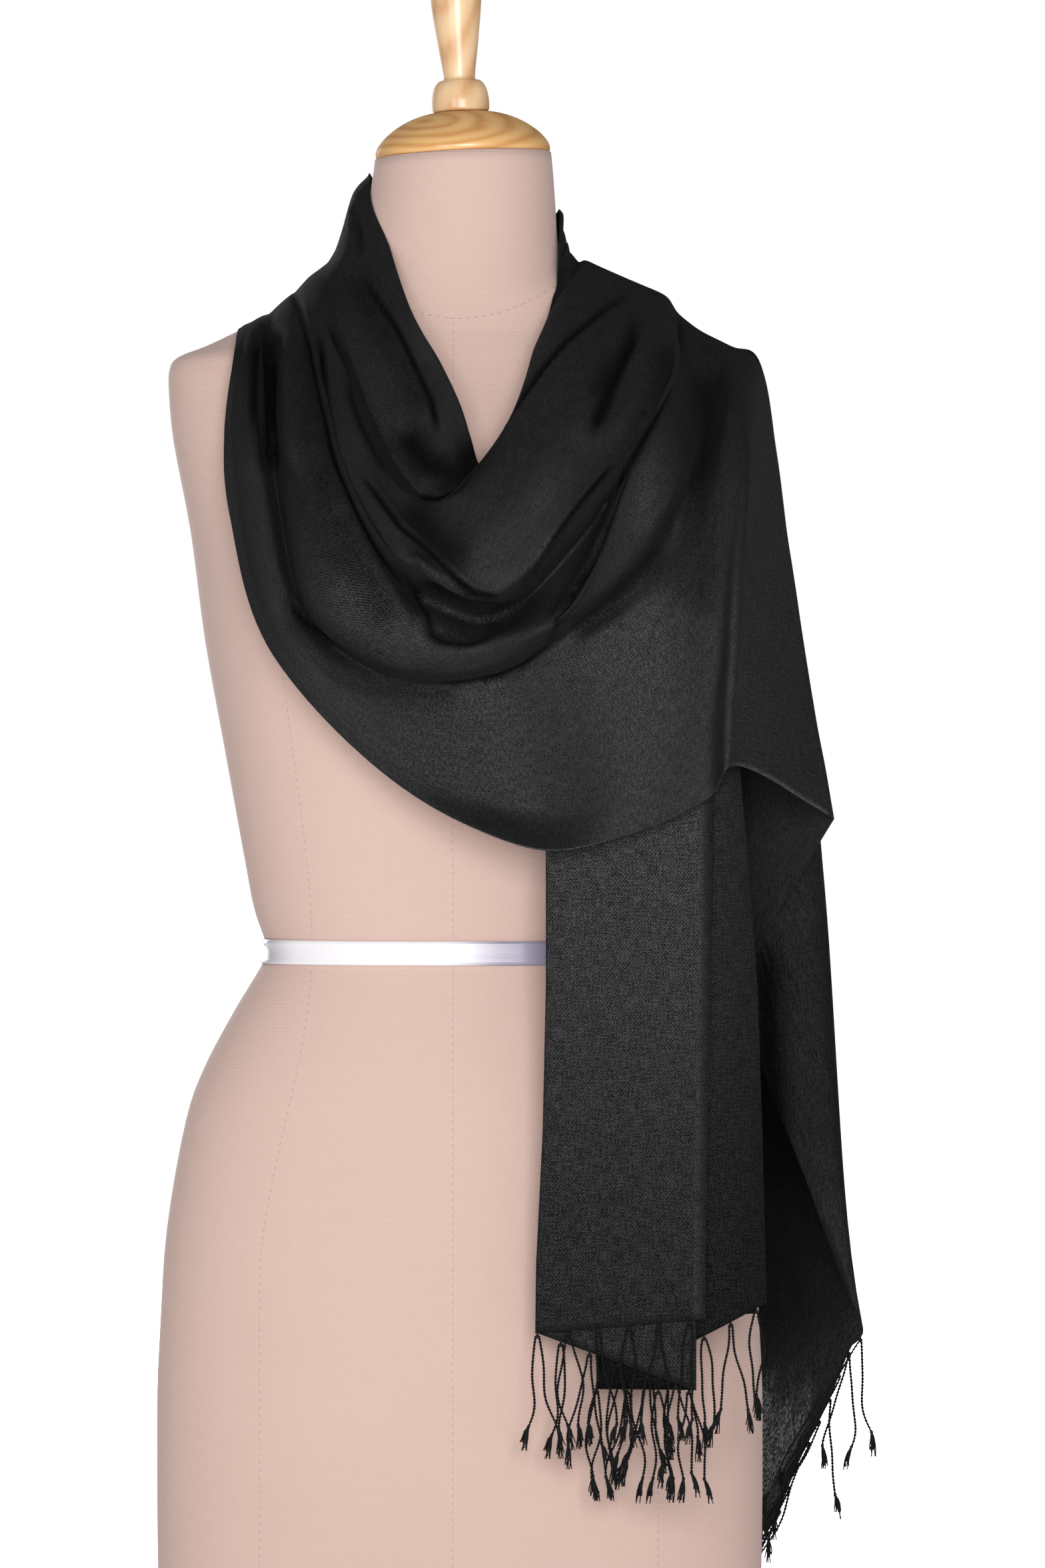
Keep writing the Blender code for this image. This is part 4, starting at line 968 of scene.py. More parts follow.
def fall_grid():
    """Points of the folded end, with their places in the flat cloth."""
    layers = len(FALL_HEM) - 1
    columns = []
    for layer in range(layers):
        columns.extend((layer, share, False) for share in fractions(0.0, 1.0, FALL_LAYER_STEPS))
        if layer < layers - 1:
            turn = fractions(0.0, 1.0, FALL_TURN_STEPS)[1:-1]
            columns.extend((layer, share, True) for share in turn)
    hem = tuple(enumerate(FALL_HEM))
    grid = []
    for down in fractions(0.0, 1.0, FALL_LEVELS):
        line = []
        for layer, share, turn in columns:
            height = between(FALL_TOP, line_at(hem, layer + (1.0 if turn else share)), down)
            point = fall_point(fall_section(height), layer, share, turn)
            line.append(Vector((point.x, point.y + fall_wave(point.x, height), height)))
        grid.append(line)
    reach = lengths_along([point.to_2d() for point in grid[-1]])
    scale = SHAWL_WIDTH / reach[-1]
    return grid, [[(x * scale, p.z) for x, p in zip(reach, line)] for line in grid]


def wrap_grids(form_tree, fall_lines):
    """The wound cloth round the nape, across the chest and down the cascade, as three grids.

    With them come the places of its rows across the folds, and the painted shade of the chest's
    points, deepest in its creases and hollows.
    """
    net = wound_net(form_tree, joined_tree(form_points(), fall_lines))
    rows = fractions(0.0, TAIL_CORNER_ROW, TAIL_CORNER_ROW * ROWS_A_FOLD)
    rows += fractions(TAIL_CORNER_ROW, len(net) - 1.0, ARM_EDGE_ROWS)[1:]
    lines = net_rows(net, rows)
    places = fractions(0.0, 1.0, OVER_STEPS) + fractions(1.0, RIGHT_SHOULDER, NAPE_STEPS)[1:]
    nape = gathered([[spline(line, along) for along in places] for line in lines], rows, places)
    places = fractions(RIGHT_SHOULDER, len(net[0]) - 1.0, COWL_STEPS)
    cowl = gathered([[spline(line, along) for along in places] for line in lines], rows, places)

    def off_form(p):
        return push_out(form_tree, p, FORM_CLEARANCE)

    for _ in range(NAPE_ROUNDS):
        nape = moved(relaxed(nape, 2, 0.5), off_form)
    under = joined_tree(form_points(), fall_lines, nape)

    def on_cloth(grid):
        grid = moved(grid, lambda p: lay_on(under, p, FORWARD, CLOTH_CLEARANCE),
                     lambda p: p.y < FALL_FRONT and p.x > FALL_SIDE)
        return moved(grid, lambda p: lay_round(under, p, SHOULDER_CLEARANCE),
                     lambda p: p.x > SHOULDER_SIDE and p.z > SHOULDER_HEIGHT)

    cowl = eased_across(cowl, CREST_ROUNDS, CREST_HEIGHT)
    for _ in range(COWL_ROUNDS):
        cowl = relaxed(on_cloth(moved(cowl, off_form)), 1, 0.4)
    cowl, shades = creased_grid(on_cloth(cowl))
    cowl = on_cloth(moved(cowl, off_form))
    for line, joint in zip(nape, cowl):
        line[-1] = joint[0].copy()
    tail = tail_grid([line[-1] for line in cowl], joined_tree(form_points(), nape))
    return nape, cowl, tail, rows, shades


def tail_grid(crest, tree):
    """Points of the cascade: a row for each step down, a column for each place round its folds.

    crest is the end of the cowl. Its first part is the cascade's top row, from the edge nearest
    the spine outwards, and the rest is the fold down the arm side that the two share.
    """
    count = TAIL_CORNER_ROW * ROWS_A_FOLD
    top_row = crest[:count + 1][::-1]
    edge = crest[count:]
    places = [TAIL_LAST * i / count for i in range(count + 1)]
    grid = [top_row]
    edge_drop = edge[0].z - edge[-1].z
    for level in range(1, ARM_EDGE_ROWS + 1):
        share = level / ARM_EDGE_ROWS
        line = [edge[level]]
        edge_share = (edge[0].z - edge[level].z) / edge_drop
        for place, top in zip(places[1:], top_row[1:]):
            down = between(edge_share, share ** TAIL_CROWDING, min(place, 1.0))
            height = between(top.z, line_at(TAIL_CUT, place), down)
            line.append(tail_point(place, height, top, edge))
        grid.append(line)
    for _ in range(TAIL_ROUNDS):
        inner = moved([line[1:] for line in grid[1:]],
                      lambda p: lay_on(tree, p, BACKWARD, CLOTH_CLEARANCE),
                      lambda p: p.y > BACK_DEPTH and p.x < BACK_SIDE)
        inner = moved(inner, lambda p: lay_round(tree, p, SHOULDER_CLEARANCE),
                      lambda p: p.z > SHOULDER_HEIGHT)
        grid = [grid[0]] + [[line[0]] + rest for line, rest in zip(grid[1:], inner)]
        grid = relaxed(grid, 2, 0.5)
    return grid


def tail_fold(height, place):
    """Where a place round the cascade's folds lies at a height, and its outer fold there."""
    corners = [Vector((p[0] * MM, p[1] * MM, 0.0)) for p in table_at(TAIL, height)]
    return turned(corners, place, TURN_SHARE), corners[0]


def tail_point(place, height, top, edge):
    """Where a place of the cascade hangs at a height."""
    folded, outer = tail_fold(height, place)
    start = tail_fold(top.z, place)[0]
    drop = top.z - height
    if place < 1.0:
        side = edge_at(edge, height) - outer
        folded += Vector((side.x, side.y, 0.0)) * (1.0 - place)
    aside = 1.0 - ease(drop / line_at(TAIL_FALL, place))
    over = 1.0 - math.sqrt(max(0.0, 1.0 - (1.0 - min(drop / TAIL_OVER, 1.0)) ** 2))
    x = folded.x + (top.x - start.x) * aside
    return Vector((x, folded.y + (top.y - start.y) * over, height))


def edge_at(edge, height):
    """Where the fold that the cowl and the cascade share runs at a height."""
    for high, low in zip(edge, edge[1:]):
        if height >= low.z:
            share = min(max((high.z - height) / max(high.z - low.z, 1e-6), 0.0), 1.0)
            return between(high, low, share)
    return edge[-1]


def turned(corners, place, share):
    """A point of a broken line whose inner corners are rounded. place counts its corners."""
    last = len(corners) - 1
    place = min(max(place, 0.0), float(last))
    near = int(place + 0.5)
    if 0 < near < last and abs(place - near) < share:
        start = between(corners[near], corners[near - 1], share)
        end = between(corners[near], corners[near + 1], share)
        t = (place - near + share) / (2.0 * share)
        return between(between(start, corners[near], t), between(corners[near], end, t), t)
    index = min(int(place), last - 1)
    return between(corners[index], corners[index + 1], place - index)


def build_form(material):
    """The padded form under its jersey cover, closed at its neck and its foot."""
    bm = bmesh.new()
    points = form_points()
    flat = [[(j / FORM_SIDES, p.z) for j, p in enumerate(line)] for line in points]
    sheet_bmesh(bm, points, flat)
    weld(bm, fill=True)
    return finish_piece("jersey_form", bm, material, "jersey", "torso")


def build_tape(material):
    """The satin tape round the waist, a band that stands just off the form."""
    bm = bmesh.new()
    rows = [Vector(row) for row in FORM]
    points = []
    flat = []
    for share in fractions(0.0, 1.0, TAPE_STEPS):
        level = spline(rows, between(*TAPE_LEVELS, share))
        line = []
        for angle in fractions(0.0, math.tau, FORM_SIDES):
            point = form_point(level, angle)
            line.append(point + Vector((point.x, point.y, 0.0)).normalized() * TAPE_STAND)
        points.append(line)
        flat.append([(j / FORM_SIDES, share) for j in range(FORM_SIDES + 1)])
    sheet_bmesh(bm, points, flat)
    weld(bm)
    return finish_piece("satin_tape", bm, material, "satin", "waist_tape", wall=TAPE_THICKNESS)


def build_turned(name, profile, node, material, steps):
    """A piece of turned wood: its profile spun round, leaning with the neck."""
    bm = bmesh.new()
    corners = [Vector((radius, 0.0, height)) for radius, height in profile]
    fine = []
    # The first stretch and the last two are straight, so that the rim and the foot stay crisp
    for i, corner in enumerate(corners[:-1]):
        sharp = i == 0 or i > len(corners) - 4
        fine.extend([corner] if sharp else [spline(corners, i + t) for t in (0.0, 0.25, 0.5, 0.75)])
    fine.append(corners[-1])
    verts = [bm.verts.new((max(p.x, 0.0), 0.0, p.z)) for p in fine]
    edges = [bm.edges.new(pair) for pair in zip(verts, verts[1:])]
    bmesh.ops.spin(bm, geom=verts + edges, cent=(0, 0, 0), axis=(0, 0, 1), dvec=(0, 0, 0),
                   angle=math.tau, steps=steps, use_merge=True)
    weld(bm)
    lean = Matrix.Translation(CAP_FOOT) @ Matrix.Rotation(-CAP_TILT, 4, "Y")
    bmesh.ops.transform(bm, matrix=lean, verts=bm.verts[:])
    return finish_piece(name, bm, material, "pine", node)


def build_board(material):
    """The plain board that closes the form underneath, with its edges eased."""
    bm = bmesh.new()
    height, half_width, front, back, roundness = FORM[0]
    level = (0.0, half_width - BOARD_INSET, front - BOARD_INSET, back - BOARD_INSET, roundness)
    made = bmesh.ops.create_circle(bm, cap_ends=True, segments=BOARD_SIDES, radius=1.0)
    for vert in made["verts"]:
        point = form_point(level, math.atan2(vert.co.y, vert.co.x))
        vert.co = (point.x, point.y, 0.0)
    up = bmesh.ops.extrude_face_region(bm, geom=bm.faces[:])
    top = [g for g in up["geom"] if isinstance(g, bmesh.types.BMVert)]
    bmesh.ops.translate(bm, verts=top, vec=(0.0, 0.0, BOARD_THICKNESS))
    rims = [e for e in bm.edges if abs(e.verts[0].co.z - e.verts[1].co.z) < 1e-6]
    bmesh.ops.bevel(bm, geom=rims, offset=BOARD_EDGE, offset_type="OFFSET", segments=3,
                    profile=0.5, affect="EDGES", clamp_overlap=True, material=-1)
    bmesh.ops.recalc_face_normals(bm, faces=bm.faces[:])
    return finish_piece("foot_board", bm, material, "board", "base_board")


def build_fall(grid, flat, material):
    """The folded end in front, as one open sheet of silk with its thickness to both sides."""
    bm = bmesh.new()
    bm.verts.layers.float.new("crease")
    # Painted shade of each point: darker lower down and on the inner layers; at the selvedge a negative
    # value, which only makes it less rough
    shades = []
    for line in grid:
        shade_line = []
        for column, point in enumerate(line):
            layer = min(column // (FALL_LAYER_STEPS + FALL_TURN_STEPS), len(FALL_LAYER_SHADE) - 1)
            shade_line.append(line_at(FALL_SHADE, point.z) + FALL_LAYER_SHADE[layer])
        shade_line[0] = -EDGE_SHINE
        shades.append(shade_line)
    sheet_bmesh(bm, grid, flat, shades)
    return finish_piece("silk_fall", bm, material, "silk", "front_fall", wall=SILK_THICKNESS)


def tail_shade(point):
    """The painted shade of a point of the cascade, by its height and from CREASES."""
    shade = line_at(TAIL_SHADE, point.z)
    if point.x > TAIL_PAINTED_SHADE_FROM and point.y < TAIL_PAINTED_SHADE_TO:
        shade += crease_at(*pixel_of(point))[1]
    return min(shade, 1.0)


def build_wrap(grids, material):
    """The wound stretch and the cascade as one sheet of silk."""
    nape, cowl, tail, rows, shades = grids
    bm = bmesh.new()
    bm.verts.layers.float.new("crease")
    bm.verts.layers.float.new("sheer")
    sheer = bm.verts.layers.float.get("sheer")
    width = [across * FOLD_WIDTH for across in rows]
    reach = lengths_along(nape[len(nape) // 2])
    sheet_bmesh(bm, nape, [[(s, w) for s in reach] for w in width])
    reach = lengths_along(cowl[len(cowl) // 2], reach[-1])
    shades[-1] = [-EDGE_SHINE] * len(reach)
    sheet_bmesh(bm, cowl, [[(s, w) for s in reach] for w in width], shades)
    down = fractions(reach[-1], reach[-1] + TAIL_LENGTH, len(tail) - 1)
    across = fractions(TAIL_CORNER_ROW * FOLD_WIDTH, 0.0, len(tail[0]) - 1)
    # The cascade's painted shade, kept in the crease attribute
    shades = [[tail_shade(point) for point in line] for line in tail]
    hem = {point.to_tuple(6) for point in tail[-1]}
    for vert in sheet_bmesh(bm, tail, [[(s, w) for w in across] for s in down], shades):
        thin = ease((SHEER_TOP - vert.co.z) / SHEER_FADE)
        vert[sheer] = 0.0 if vert.co.to_tuple(6) in hem else thin
    weld(bm, near=2e-5)
    return finish_piece("silk_wrap", bm, material, "silk", "nape_wrap", "cowl", "back_tail",
                        wall=SILK_THICKNESS)


def strand_template():
    """One twisted strand of two plies that hangs straight down from the origin."""
    bm = bmesh.new()
    turns = STRAND_LENGTH / TWIST_PITCH
    steps = int(turns * TWIST_STEPS)
    for side in (0.0, math.pi):
        made = bmesh.ops.create_circle(bm, cap_ends=True, segments=4, radius=PLY_RADIUS)
        verts = made["verts"]
        faces = [f for f in bm.faces if set(f.verts) <= set(verts)]
        out = Vector((PLY_OFFSET * math.cos(side), PLY_OFFSET * math.sin(side), 0.0))
        bmesh.ops.translate(bm, verts=verts, vec=out)
        bmesh.ops.spin(bm, geom=faces, cent=(0, 0, 0), axis=(0, 0, 1),
                       dvec=(0, 0, -STRAND_LENGTH / steps), angle=turns * math.tau, steps=steps)
    return bm


def knot_template():
    bm = bmesh.new()
    bmesh.ops.create_icosphere(bm, subdivisions=1, radius=KNOT_RADIUS)
    return bm


def hair_template():
    """One loose thread of a tuft, a tapering three-sided stem that hangs from the origin."""
    bm = bmesh.new()
    bmesh.ops.create_circle(bm, cap_ends=True, segments=3, radius=HAIR_RADIUS)
    face = bm.faces[:][0]
    for _ in range(HAIR_STEPS):
        face = bmesh.ops.extrude_discrete_faces(bm, faces=[face])["faces"][0]
        bmesh.ops.translate(bm, verts=face.verts[:], vec=(0.0, 0.0, -TUFT_LENGTH / HAIR_STEPS))
        middle = face.calc_center_median()
        bmesh.ops.scale(bm, verts=face.verts[:], vec=(HAIR_TAPER, HAIR_TAPER, 1.0),
                        space=Matrix.Translation(-middle))
    return bm


def mesh_of(bm):
    """A bmesh as a mesh to be copied from."""
    mesh = bpy.data.meshes.new("template")
    bmesh.ops.recalc_face_normals(bm, faces=bm.faces[:])
    bm.to_mesh(mesh)
    bm.free()
    return mesh


def stamp(bm, template):
    """Adds a copy of a template to a bmesh. It returns the copy's vertices."""
    first = len(bm.verts)
    bm.from_mesh(template)
    bm.verts.ensure_lookup_table()
    return bm.verts[first:]


def along_hem(hem, distance):
    """A point of a hem at a distance along it, and the level way that it runs there."""
    for a, b in zip(hem, hem[1:]):
        length = (b - a).length
        if distance <= length:
            way = Vector((b.x - a.x, b.y - a.y, 0.0))
            return between(a, b, distance / max(length, 1e-9)), way.normalized()
        distance -= length
    return hem[-1], Vector((1.0, 0.0, 0.0))


def strayed(number, down):
    """How far aside and forward a strand has strayed at a share of its length."""
    aside = waves(STRAY_ASIDE, number, down)
    return STRAND_SPLAY * down * Vector((aside, waves(STRAY_FORWARD, number, down), 0.0))


def hang_strand(bm, templates, root, way, side, number, drift):
    """A twisted strand from its root, bowed in its own way, with a knot and a tuft at its end.

    drift is how far it swings in behind the cloth, as a share of its length.
    """
    strand, knot, hair = templates
    length = STRAND_LENGTH * (1.0 + STRAND_UNEVEN * math.sin(number * 3.1))
    start = root + way * (STRAND_BESIDE * side) + Vector((0.0, 0.0, -STRAND_UNDER))

    def centre(down):
        lean = way * (side * STRAND_SPLAY * 0.7 * math.sin(1.6 * down))
        back = STRAND_BEHIND * ease(drift * 5.0) * ease(down * 4.0)
        behind = Vector((-drift * down * length, back, 0.0))
        return start + lean + behind + strayed(number, down) + Vector((0.0, 0.0, -length * down))

    for vert in stamp(bm, strand):
        down = -vert.co.z / STRAND_LENGTH
        vert.co = centre(down) + Vector((vert.co.x, vert.co.y, 0.0))
    end = centre(1.0)
    for vert in stamp(bm, knot):
        vert.co += end
    for index in range(HAIRS):
        turn = index * GOLDEN_ANGLE + number
        spread = TUFT_SPREAD * math.sqrt((index + 0.5) / HAIRS)
        swing = math.sin(number * 5.3) * TUFT_SWING
        aside = Vector((math.cos(turn) * spread + swing, math.sin(turn) * spread * 0.7, 0.0))
        long = 0.80 + 0.20 * math.sin(number * 1.7 + index * 2.1)
        for vert in stamp(bm, hair):
            share = -vert.co.z / TUFT_LENGTH
            curl = Vector((math.sin(index * 5.0 + share * 5.0), 0.0, 0.0)) * (TUFT_CURL * share)
            vert.co.z *= long
            vert.co += end + aside * share ** 0.6 + curl


def hang_fringe(name, hem, material, node, seed, drifts=()):
    """Pairs of twisted strands along a hem, each pair from one knot."""
    bm = bmesh.new()
    templates = [mesh_of(made) for made in (strand_template(), knot_template(), hair_template())]
    total = lengths_along(hem)[-1]
    count = int(total / KNOT_SPACING)
    for knot in range(count):
        root, way = along_hem(hem, (knot + 0.5) * total / count)
        for place, side in enumerate((-1.0, 1.0)):
            strand = 2 * knot + place
            drift = drifts[strand] if strand < len(drifts) else 0.0
            hang_strand(bm, templates, root, way, side, seed + 2.0 * knot + side, drift)
        for vert in stamp(bm, templates[1]):
            vert.co = root + Vector((vert.co.x, vert.co.y, vert.co.z * KNOT_STRETCH - KNOT_DROP))
    for template in templates:
        bpy.data.meshes.remove(template)
    return finish_piece(name, bm, material, "silk", node)


class Nodes:
    """A shader's node tree, with short ways to add what the looks are made of.

    Each value given to a node is a plain value, or the socket that it comes from.
    """

    def __init__(self, tree):
        self.tree = tree

    def put(self, value, socket):
        if isinstance(value, bpy.types.NodeSocket):
            self.tree.links.new(value, socket)
        elif socket.type == "RGBA":
            socket.default_value = (*value, 1.0)
        else:
            socket.default_value = value

    def add(self, kind, sockets, **settings):
        """A node with its settings, and its sockets' values by name or number."""
        node = self.tree.nodes.new("ShaderNode" + kind)
        for key, value in settings.items():
            setattr(node, key, value)
        for key, value in sockets.items():
            self.put(value, node.inputs[key])
        return node

    def math(self, operation, *values):
        return self.add("Math", dict(enumerate(values)), operation=operation).outputs[0]

    def times(self, a, b):
        return self.math("MULTIPLY", a, b)

    def plus(self, a, b):
        return self.math("ADD", a, b)

    def wave(self, place, pitch):
        """A sine that comes back after each pitch."""
        return self.math("SINE", self.times(place, math.tau / pitch))

    def noise(self, place, scale, detail):
        return self.add("TexNoise", {"Vector": place, "Scale": scale, "Detail": detail}).outputs[0]

    def span(self, value, low, high, first=0.0, last=1.0, **settings):
        """A value spread from what lies between low and high to what lies between first and last."""
        sockets = {"Value": value, "From Min": low, "From Max": high, "To Min": first, "To Max": last}
        return self.add("MapRange", sockets, **settings).outputs[0]

    def mix(self, mask, low, high):
        """A colour between two by a mask."""
        return self.add("Mix", {0: mask, 6: low, 7: high}, data_type="RGBA").outputs[2]

    def parts(self, vector):
        return self.add("SeparateXYZ", {0: vector}).outputs

    def where(self):
        return self.add("TexCoord", {}).outputs["Object"]

    def facing(self):
        return self.add("LayerWeight", {}).outputs["Facing"]

    def attribute(self, name):
        return self.add("Attribute", {}, attribute_name=name).outputs["Fac"]

    def bump(self, height, strength, distance):
        sockets = {"Height": height, "Strength": strength, "Distance": distance}
        return self.add("Bump", sockets).outputs[0]


def new_group(name, inputs, outputs):
    """A shader node group with named inputs and outputs: its nodes, what goes in, what goes out."""
    group = bpy.data.node_groups.new(name, "ShaderNodeTree")
    group.interface.new_socket(name="Vector", in_out="INPUT", socket_type="NodeSocketVector")
    for title in inputs:
        group.interface.new_socket(name=title, in_out="INPUT", socket_type="NodeSocketFloat")
    for title in outputs:
        group.interface.new_socket(name=title, in_out="OUTPUT", socket_type="NodeSocketFloat")
    inside = group.nodes.new("NodeGroupInput").outputs
    return group, Nodes(group), inside, group.nodes.new("NodeGroupOutput").inputs


def new_material(name, **settings):
    """A material, its nodes and the inputs of its Principled shader with the given values."""
    material = bpy.data.materials.new(name)
    material.use_nodes = True
    nodes = Nodes(material.node_tree)
    shader = material.node_tree.nodes["Principled BSDF"].inputs
    for key, value in settings.items():
        nodes.put(value, shader[key.replace("_", " ")])
    return material, nodes, shader


def weave_group():
    """Threads that cross: their height, with slightly uneven threads and grain."""
    group, nodes, inside, outside = new_group("crossing_threads", ("Pitch", "Slant"), ("Height",))
    turns = nodes.math("DIVIDE", math.tau, inside["Pitch"])
    scaled = nodes.add("VectorMath", {0: inside["Vector"], "Scale": turns}, operation="SCALE")
    x, y, _ = nodes.parts(scaled.outputs[0])
    twill = nodes.math("SINE", nodes.plus(x, nodes.times(y, inside["Slant"])))
    total = nodes.times(twill, TWILL_SHARE)
    for along, across, share in THREAD_NOISES:
        mapping = nodes.add("Mapping", {"Vector": inside["Vector"], "Scale": (along, across, 1.0)})
        total = nodes.plus(total, nodes.times(nodes.noise(mapping.outputs[0], 1.0, 1.0), share))
    nodes.put(total, outside["Height"])
    return group


def silk_material(threads):
    """Black silk twill: fine slanted threads, a soft broad sheen, a few pale flecks and painted shade.
    """
    material, nodes, shader = new_material("black_silk", Specular_IOR_Level=0.285)
    cloth = nodes.add("UVMap", {}).outputs[0]
    sockets = {"Vector": cloth, "Pitch": TWILL_PITCH, "Slant": TWILL_SLANT}
    weave = nodes.add("Group", sockets, node_tree=threads).outputs["Height"]
    # The crease attribute holds painted shade, which darkens the colour and blackens the sheen
    crease = nodes.attribute("crease")
    uneven = nodes.span(weave, *THREAD_RANGE)
    colour = nodes.mix(uneven, *SILK_COLOURS)
    flecks = nodes.add("TexVoronoi", {"Vector": cloth, "Scale": 55.0, "Randomness": 1.0})
    fleck = nodes.math("LESS_THAN", flecks.outputs["Distance"], FLECK_SIZE)
    colour = nodes.mix(fleck, colour, FLECK_COLOUR)
    colour = nodes.mix(nodes.times(crease, PAINTED_SHADE_DARK), colour, PAINTED_SHADE_COLOUR)
    nodes.put(colour, shader["Base Color"])
    nodes.put(nodes.times(crease, PAINTED_SHADE_METALLIC), shader["Metallic"])
    gaps = nodes.plus(nodes.times(uneven, SHEER_UNEVEN), SHEER_GAPS)
    gaps = nodes.times(nodes.attribute("sheer"), gaps)
    nodes.put(nodes.math("SUBTRACT", 1.0, gaps), shader["Alpha"])
    rough = nodes.span(weave, *THREAD_RANGE, *SILK_ROUGH)
    rough = nodes.plus(rough, nodes.times(crease, CREASE_DULL))
    low, high, more = GRAZE_ROUGH
    rough = nodes.plus(rough, nodes.span(nodes.facing(), low, high, last=more))
    nodes.put(rough, shader["Roughness"])
    nodes.put(nodes.bump(weave, *TWILL_BUMP), shader["Normal"])
    return material


def thread_material():
    """The fringe's twisted threads: black silk of uneven tone, with less sheen than the cloth."""
    material, nodes, shader = new_material("black_thread", Roughness=0.6, Specular_IOR_Level=0.2)
    cloud = nodes.noise(nodes.where(), 900.0, 2.0)
    nodes.put(nodes.mix(cloud, *THREAD_COLOURS), shader["Base Color"])
    return material


def jersey_material():
    """The form's beige jersey: fine level ribs, a soft nap and the dotted seams."""
    material, nodes, shader = new_material(
        "beige_jersey", Roughness=0.85, Specular_IOR_Level=0.25, Sheen_Weight=0.12,
        Sheen_Roughness=0.6)
    place = nodes.where()
    x, y, z = nodes.parts(place)
    ribs = nodes.wave(z, RIB_PITCH)
    nap = nodes.noise(place, 420.0, 3.0)
    wide = nodes.noise(place, 9.0, 3.0)
    clouds = nodes.plus(nodes.times(nap, 0.45), nodes.times(wide, 0.45))
    colour = nodes.mix(nodes.plus(nodes.times(ribs, 0.10), clouds), *JERSEY_COLOURS)
    stitches = seams(nodes, x, z)
    colour = nodes.mix(nodes.times(stitches, 0.45), colour, STITCH_COLOUR)
    nodes.put(colour, shader["Base Color"])
    height = nodes.plus(nodes.times(ribs, 0.5), nodes.times(nodes.wave(x, JERSEY_PITCH), 0.25))
    height = nodes.math("SUBTRACT", nodes.plus(height, nap), nodes.times(stitches, 3.0))
    nodes.put(nodes.bump(height, *JERSEY_BUMP), shader["Normal"])
    return material


def seams(nodes, x, z):
    """A mask of the dotted seams: centre front and back, two curved ones beside it, and the neck's."""
    dots_up = nodes.math("GREATER_THAN", nodes.wave(z, STITCH_PITCH), 0.1)
    dots_round = nodes.math("GREATER_THAN", nodes.wave(x, STITCH_PITCH), 0.1)
    below = nodes.math("LESS_THAN", z, NECK_SEAM)
    middle = nodes.math("COMPARE", nodes.math("SUBTRACT", x, MIDDLE_SEAM), 0.0, SEAM_WIDTH)
    flares = [nodes.span(z, low, high, last=out, interpolation_type="SMOOTHSTEP")
              for low, high, out in SEAM_FLARES]
    side = nodes.math("SUBTRACT", nodes.math("ABSOLUTE", x), nodes.plus(*flares))
    beside = nodes.math("COMPARE", side, SIDE_SEAM, SEAM_WIDTH)
    down = nodes.times(nodes.math("MAXIMUM", middle, beside), below)
    level = nodes.plus(NECK_SEAM, nodes.times(nodes.times(x, x), NECK_SEAM_RISE))
    neck = nodes.math("COMPARE", z, level, SEAM_WIDTH * 1.3)
    return nodes.math("MAXIMUM", nodes.times(down, dots_up), nodes.times(neck, dots_round))


def satin_material():
    """White satin, with a painted highlight mid-waist and lilac painted shade towards its sides."""
    material, nodes, shader = new_material(
        "white_satin", Roughness=0.3, Specular_IOR_Level=0.6, Coat_Weight=0.25, Coat_Roughness=0.2)
    across = nodes.parts(nodes.add("UVMap", {}).outputs[0])[1]
    x = nodes.parts(nodes.where())[0]
    # The colour is a painted highlight near the middle of the waist that fades to painted shade at the
    # sides
    off = nodes.math("ABSOLUTE", nodes.math("SUBTRACT", x, SATIN_HIGHLIGHT_MIDDLE))
    edge = nodes.span(off, *SATIN_EDGE, interpolation_type="SMOOTHSTEP")
    nodes.put(nodes.mix(edge, *SATIN_HIGHLIGHT_AND_SHADE_COLOURS), shader["Base Color"])
    threads = nodes.wave(across, 1.0 / SATIN_THREADS)
    nodes.put(nodes.bump(threads, *SATIN_BUMP), shader["Normal"])
    return material


def grain_group():
    """Wood grain: rings drawn out along one way, with fine pores."""
    group, nodes, inside, outside = new_group("wood_grain", ("Rings", "Warp"), ("Grain", "Pores"))
    sockets = {"Vector": inside["Vector"], "Scale": inside["Rings"], "Distortion": inside["Warp"],
               "Detail": 2.5, "Detail Scale": 1.2, "Detail Roughness": 0.55}
    rings = nodes.add("TexWave", sockets, wave_type="RINGS", rings_direction="X")
    nodes.put(rings.outputs["Fac"], outside["Grain"])
    nodes.put(nodes.noise(inside["Vector"], 260.0, 4.0), outside["Pores"])
    return group


def wood_material(name, grain, colours, heart, turn, stretch, gloss, rings, warp):
    """Turned or sawn wood: grain lines round a heart, under varnish where gloss is set."""
    material, nodes, shader = new_material(name, Coat_Roughness=0.18)
    shift = Euler(turn).to_matrix() @ Vector([-place * share for place, share in zip(heart, stretch)])
    mapping = nodes.add("Mapping", {"Vector": nodes.where(), "Location": shift, "Rotation": turn,
                                    "Scale": stretch})
    sockets = {"Vector": mapping.outputs[0], "Rings": rings, "Warp": warp}
    lines = nodes.add("Group", sockets, node_tree=grain).outputs
    mixed = nodes.plus(nodes.times(lines["Grain"], 0.75), nodes.times(lines["Pores"], 0.25))
    ramp = nodes.add("ValToRGB", {0: mixed})
    stops = ramp.color_ramp.elements
    stops.new(0.45)
    for stop, colour in zip(stops, colours):
        stop.color = (*colour, 1.0)
    nodes.put(ramp.outputs[0], shader["Base Color"])
    facing = nodes.facing()
    nodes.put(nodes.span(facing, *WOOD_EDGE, gloss, 0.0), shader["Coat Weight"])
    nodes.put(nodes.span(facing, *WOOD_EDGE, 0.35, 0.9), shader["Roughness"])
    nodes.put(nodes.bump(lines["Pores"], *PORE_BUMP), shader["Normal"])
    return material


